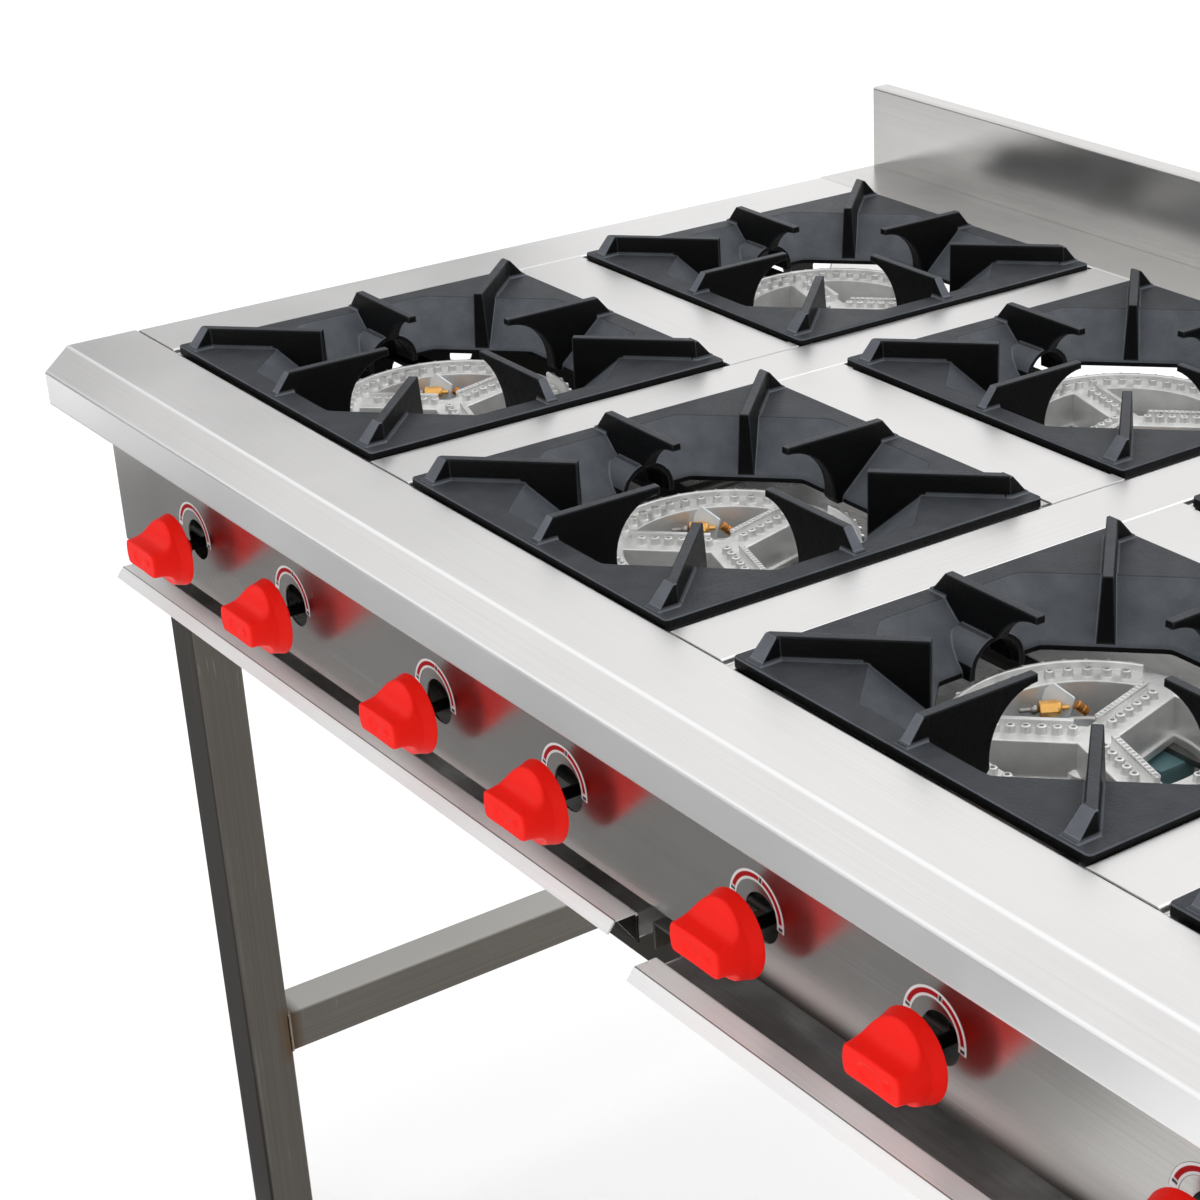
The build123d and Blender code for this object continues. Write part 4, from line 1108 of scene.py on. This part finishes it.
def knob_shell():
    """Rings round the knob's axis, each the smooth lesser of the skirt's radius and the distance to
    the grip's flat sides over the sine of the angle. The sides are 9.2 mm from the middle plus 16.3
    times e to the power of a quarter of 10 less the height."""
    turn = np.linspace(0, 2 * np.pi, 145)[:-1]
    bevel = np.radians((25, 50, 70, 90))
    level = np.concatenate((
        [0.0, 0.25, 0.8], np.linspace(2, 7.5, 4), np.linspace(8.2, 20, 30), np.linspace(21, 28.4, 5),
        28.6 + 1.4 * np.sin(bevel),
    ))
    inset = np.concatenate(([0.8, 0.25, 0.0], np.zeros(39), 1.2 * (1 - np.cos(bevel))))
    skirt = np.interp(level, (0, 4.5, 9, 30), (28.2, 26.7, 25.6, 23.6))
    grip = 9.2 + 16.3 * np.exp((10 - level) / 4)
    flat = grip[:, None] / np.maximum(np.abs(np.sin(turn)), 1e-3)
    power = 16
    reach = (skirt[:, None] ** -power + flat**-power) ** (-1 / power) - inset[:, None]
    a, b = reach * np.cos(turn), reach * np.sin(turn)
    rings = [np.stack([a, b, np.broadcast_to(level[:, None], reach.shape)], -1)]
    share = np.linspace(0.95, 0.04, 22)[:, None]
    a, b = share * a[-1], share * b[-1]
    oval = 1 / (1 + np.exp(-16 * (1 - np.hypot((a + 2.5) / 7.5, b / 4.6))))
    mark = 1 / (1 + np.exp(-9 * (1 - np.hypot((a - 14.2) / 2.4, (b - 0.5) / 2.4))))
    rings.append(np.stack([a, b, 30 - 0.8 * oval - 1.2 * mark], -1))
    back = []
    for radius, depth in (
        (4.05, 16), (4.05, -8.3), (4.3, -8.5), (8.1, -8.5), (8.5, -8.1), (8.5, 7.4), (9.0, 7.9),
        (22.4, 5.2), (23.2, 4.6), (25.0, 0.5), (25.6, 0.0)
    ):
        back.append(np.stack([radius * np.cos(turn), radius * np.sin(turn), np.full_like(turn, depth)], -1))
    return carried(np.concatenate([np.array(back), *rings]))


knob = knob_shell()
for i in knobs:
    back = (knob_x(i), panel_y - knob_reach + knob_depth, knob_z)
    node = f"knob_{i + 1}"
    named = {"body": node, "slot": "knob_plastic", "stands_for": [node]}
    piece(node + "_moulding", [set_in(knob, back, x_way, z_way, -y_way)], knob_finish, crease=50, **named)

# Dials: printed film stuck on the panel round each stem, an arc of white with a red band that is
# broken by small black marks where the cock is off, full and low.
dial_inner = 19.5
dial_outer = 26.4
dial_finish, dial_tree, dial_shader = shader("dial_film", Roughness=0.6, Specular_IOR_Level=0.1)
dial_map = add(dial_tree, "ShaderNodeUVMap", uv_map="dial").outputs[0]
dial_uv = add(dial_tree, "ShaderNodeSeparateXYZ", {0: dial_map})


def inside(value, middle, half, soft=0.004):
    """1 where the value is within half of the middle, with a narrow soft edge."""
    return near(dial_tree, value, middle, half - soft, half + soft)


def both(first, second, operation="MULTIPLY"):
    """Two masks joined into one."""
    return worked(dial_tree, operation, first, second)


dial_turn, dial_reach = dial_uv.outputs[0], dial_uv.outputs[1]
red_band = both(
    inside(dial_reach, 0.5, 0.22, 0.03),
    both(inside(dial_turn, -0.086, 0.108), inside(dial_turn, 0.142, 0.098), "MAXIMUM"),
)
off_mark, full_mark, low_mark = (
    inside(dial_turn, middle, half) for middle, half in ((0.033, 0.008), (0.262, 0.008), (-0.208, 0.007))
)
all_marks = both(off_mark, both(full_mark, low_mark, "MAXIMUM"), "MAXIMUM")
marks = both(inside(dial_reach, 0.5, 0.27, 0.05), all_marks)
rim_line = both(*(near(dial_tree, dial_reach, edge, 0.03, 0.07) for edge in (1.0, 0.0)), "MAXIMUM")
dial_tone = mixed(dial_tree, rim_line, (0.82, 0.82, 0.82), (0.28, 0.28, 0.28))
dial_tone = mixed(dial_tree, red_band, dial_tone, (0.42, 0.002, 0.006))
feed(dial_shader, Base_Color=mixed(dial_tree, marks, dial_tone, (0.02, 0.02, 0.022)))
dial_steps = 72
dial_left = 5.0
for i in knobs:
    turn = np.linspace(-85, 99, dial_steps)
    reach = np.array((dial_inner, dial_outer))
    x = knob_x(i) - dial_left + reach * np.sin(np.radians(turn))[:, None]
    z = -121.0 + reach * np.cos(np.radians(turn))[:, None]
    front = np.stack([x, np.full_like(x, panel_y - 0.12), z], -1)
    rear = front + (0, 0.10, 0)
    rings = np.stack([front[:, 0], front[:, 1], rear[:, 1], rear[:, 0]], 1)
    obj = piece(f"dial_{i + 1}", [carried(rings)], dial_finish)
    layer = obj.data.uv_layers.new(name="dial")
    corner = np.empty(len(obj.data.loops), int)
    obj.data.loops.foreach_get("vertex_index", corner)
    step, side = corner // 4, corner % 4
    spread = np.stack([turn[step] / 360, np.isin(side, (1, 2)).astype(float)], -1)
    layer.data.foreach_set("uv", spread.astype(np.float32).ravel())

# Studio: a pale floor and a white surround with a broad soft lamp, and the camera where the
# photograph was taken from. None of it is part of the stove.
floor_size = 8.0
floor_z = -0.0005
floor_corners = oblong(-floor_size, floor_size, 0, floor_size)
floor_mesh = bpy.data.meshes.new("floor")
floor_mesh.from_pydata([(x, y, floor_z) for x, y in floor_corners], [], [(0, 1, 2, 3)])
floor = bpy.data.objects.new("floor", floor_mesh)
bpy.context.scene.collection.objects.link(floor)
floor_finish, floor_tree, floor_shader = shader(
    "floor_paint", Base_Color=(0.85, 0.85, 0.85, 1), Roughness=0.9
)
floor_path = add(floor_tree, "ShaderNodeLightPath")


def seen(tree, path):
    """1 for rays that show the surround: those of the camera, of mirrors and through clear pieces."""
    shown = path.outputs["Is Camera Ray"]
    for ray in ("Is Glossy Ray", "Is Transmission Ray"):
        shown = worked(tree, "MAXIMUM", shown, path.outputs[ray])
    return shown


floor_glow = scaled(floor_tree, seen(floor_tree, floor_path), 0, 1, 0.0, 0.18)
floor_shader.inputs["Emission Color"].default_value = (1, 1, 1, 1)
floor_tree.links.new(floor_glow, floor_shader.inputs["Emission Strength"])
floor_mesh.materials.append(floor_finish)

world = bpy.data.worlds.new("surround")
bpy.context.scene.world = world
world.use_nodes = True
sky_tree = world.node_tree
sky_shown = seen(sky_tree, add(sky_tree, "ShaderNodeLightPath"))
sky_tone = mixed(sky_tree, sky_shown, (1.15, 1.15, 1.15), (1, 1, 1))
sky_tree.links.new(sky_tone, sky_tree.nodes["Background"].inputs[0])


def card(name, corners, grey):
    """A flat grey card that only shows as a soft reflection in the steel."""
    mesh = bpy.data.meshes.new(name)
    mesh.from_pydata(corners, [], [(0, 1, 2, 3)])
    obj = bpy.data.objects.new(name, mesh)
    bpy.context.scene.collection.objects.link(obj)
    obj.visible_camera = obj.visible_diffuse = obj.visible_shadow = False
    mesh.materials.append(shader(name + "_paint", Base_Color=(grey, grey, grey, 1), Roughness=0.9)[0])


card("wall_card", [(-4, -5.5, 0), (-4, 2.0, 0), (-4, 2.0, 2.4), (-4, -5.5, 2.4)], 0.2)
card("floor_card", [(-2.9, -2.4, 0.01), (-0.4, -2.4, 0.01), (-0.4, -0.36, 0.01), (-2.9, -0.36, 0.01)], 0.24)


def lamp(name, place, target, size, power):
    """A square soft lamp that shines from one point to another."""
    data = bpy.data.lights.new(name, "AREA")
    data.shape, data.size, data.energy = "SQUARE", size, power
    obj = bpy.data.objects.new(name, data)
    obj.location = place
    obj.rotation_mode = "QUATERNION"
    obj.rotation_quaternion = (Vector(target) - Vector(place)).to_track_quat("-Z", "Y")
    bpy.context.scene.collection.objects.link(obj)


lamp("back_lamp", (0.2, 2.2, 3.2), (0.4, 0, 0.9), 2.2, 14)

azimuth, elevation, roll = (math.radians(a) for a in (51.70, 27.28, 0.72))
flat_ahead = Vector((-math.sin(azimuth), math.cos(azimuth), 0))
ahead = math.cos(elevation) * flat_ahead - math.sin(elevation) * Vector(z_way)
level = Vector((math.cos(azimuth), math.sin(azimuth), 0))
down = ahead.cross(level)
right = math.cos(roll) * level + math.sin(roll) * down
up = math.sin(roll) * level - math.cos(roll) * down
camera_data = bpy.data.cameras.new("camera")
camera_data.sensor_width = 36.0
camera_data.lens = 78.38
camera_data.shift_x = -0.2199
camera_data.shift_y = 0.1116
camera_data.clip_end = 100
camera = bpy.data.objects.new("camera", camera_data)
eye = Vector(framed((1898.2, -777.8, 651.6)))
camera.matrix_world = Matrix.Translation(eye) @ Matrix((right, up, -ahead)).transposed().to_4x4()
bpy.context.scene.collection.objects.link(camera)
bpy.context.scene.camera = camera
bpy.context.scene.view_settings.view_transform = "Standard"
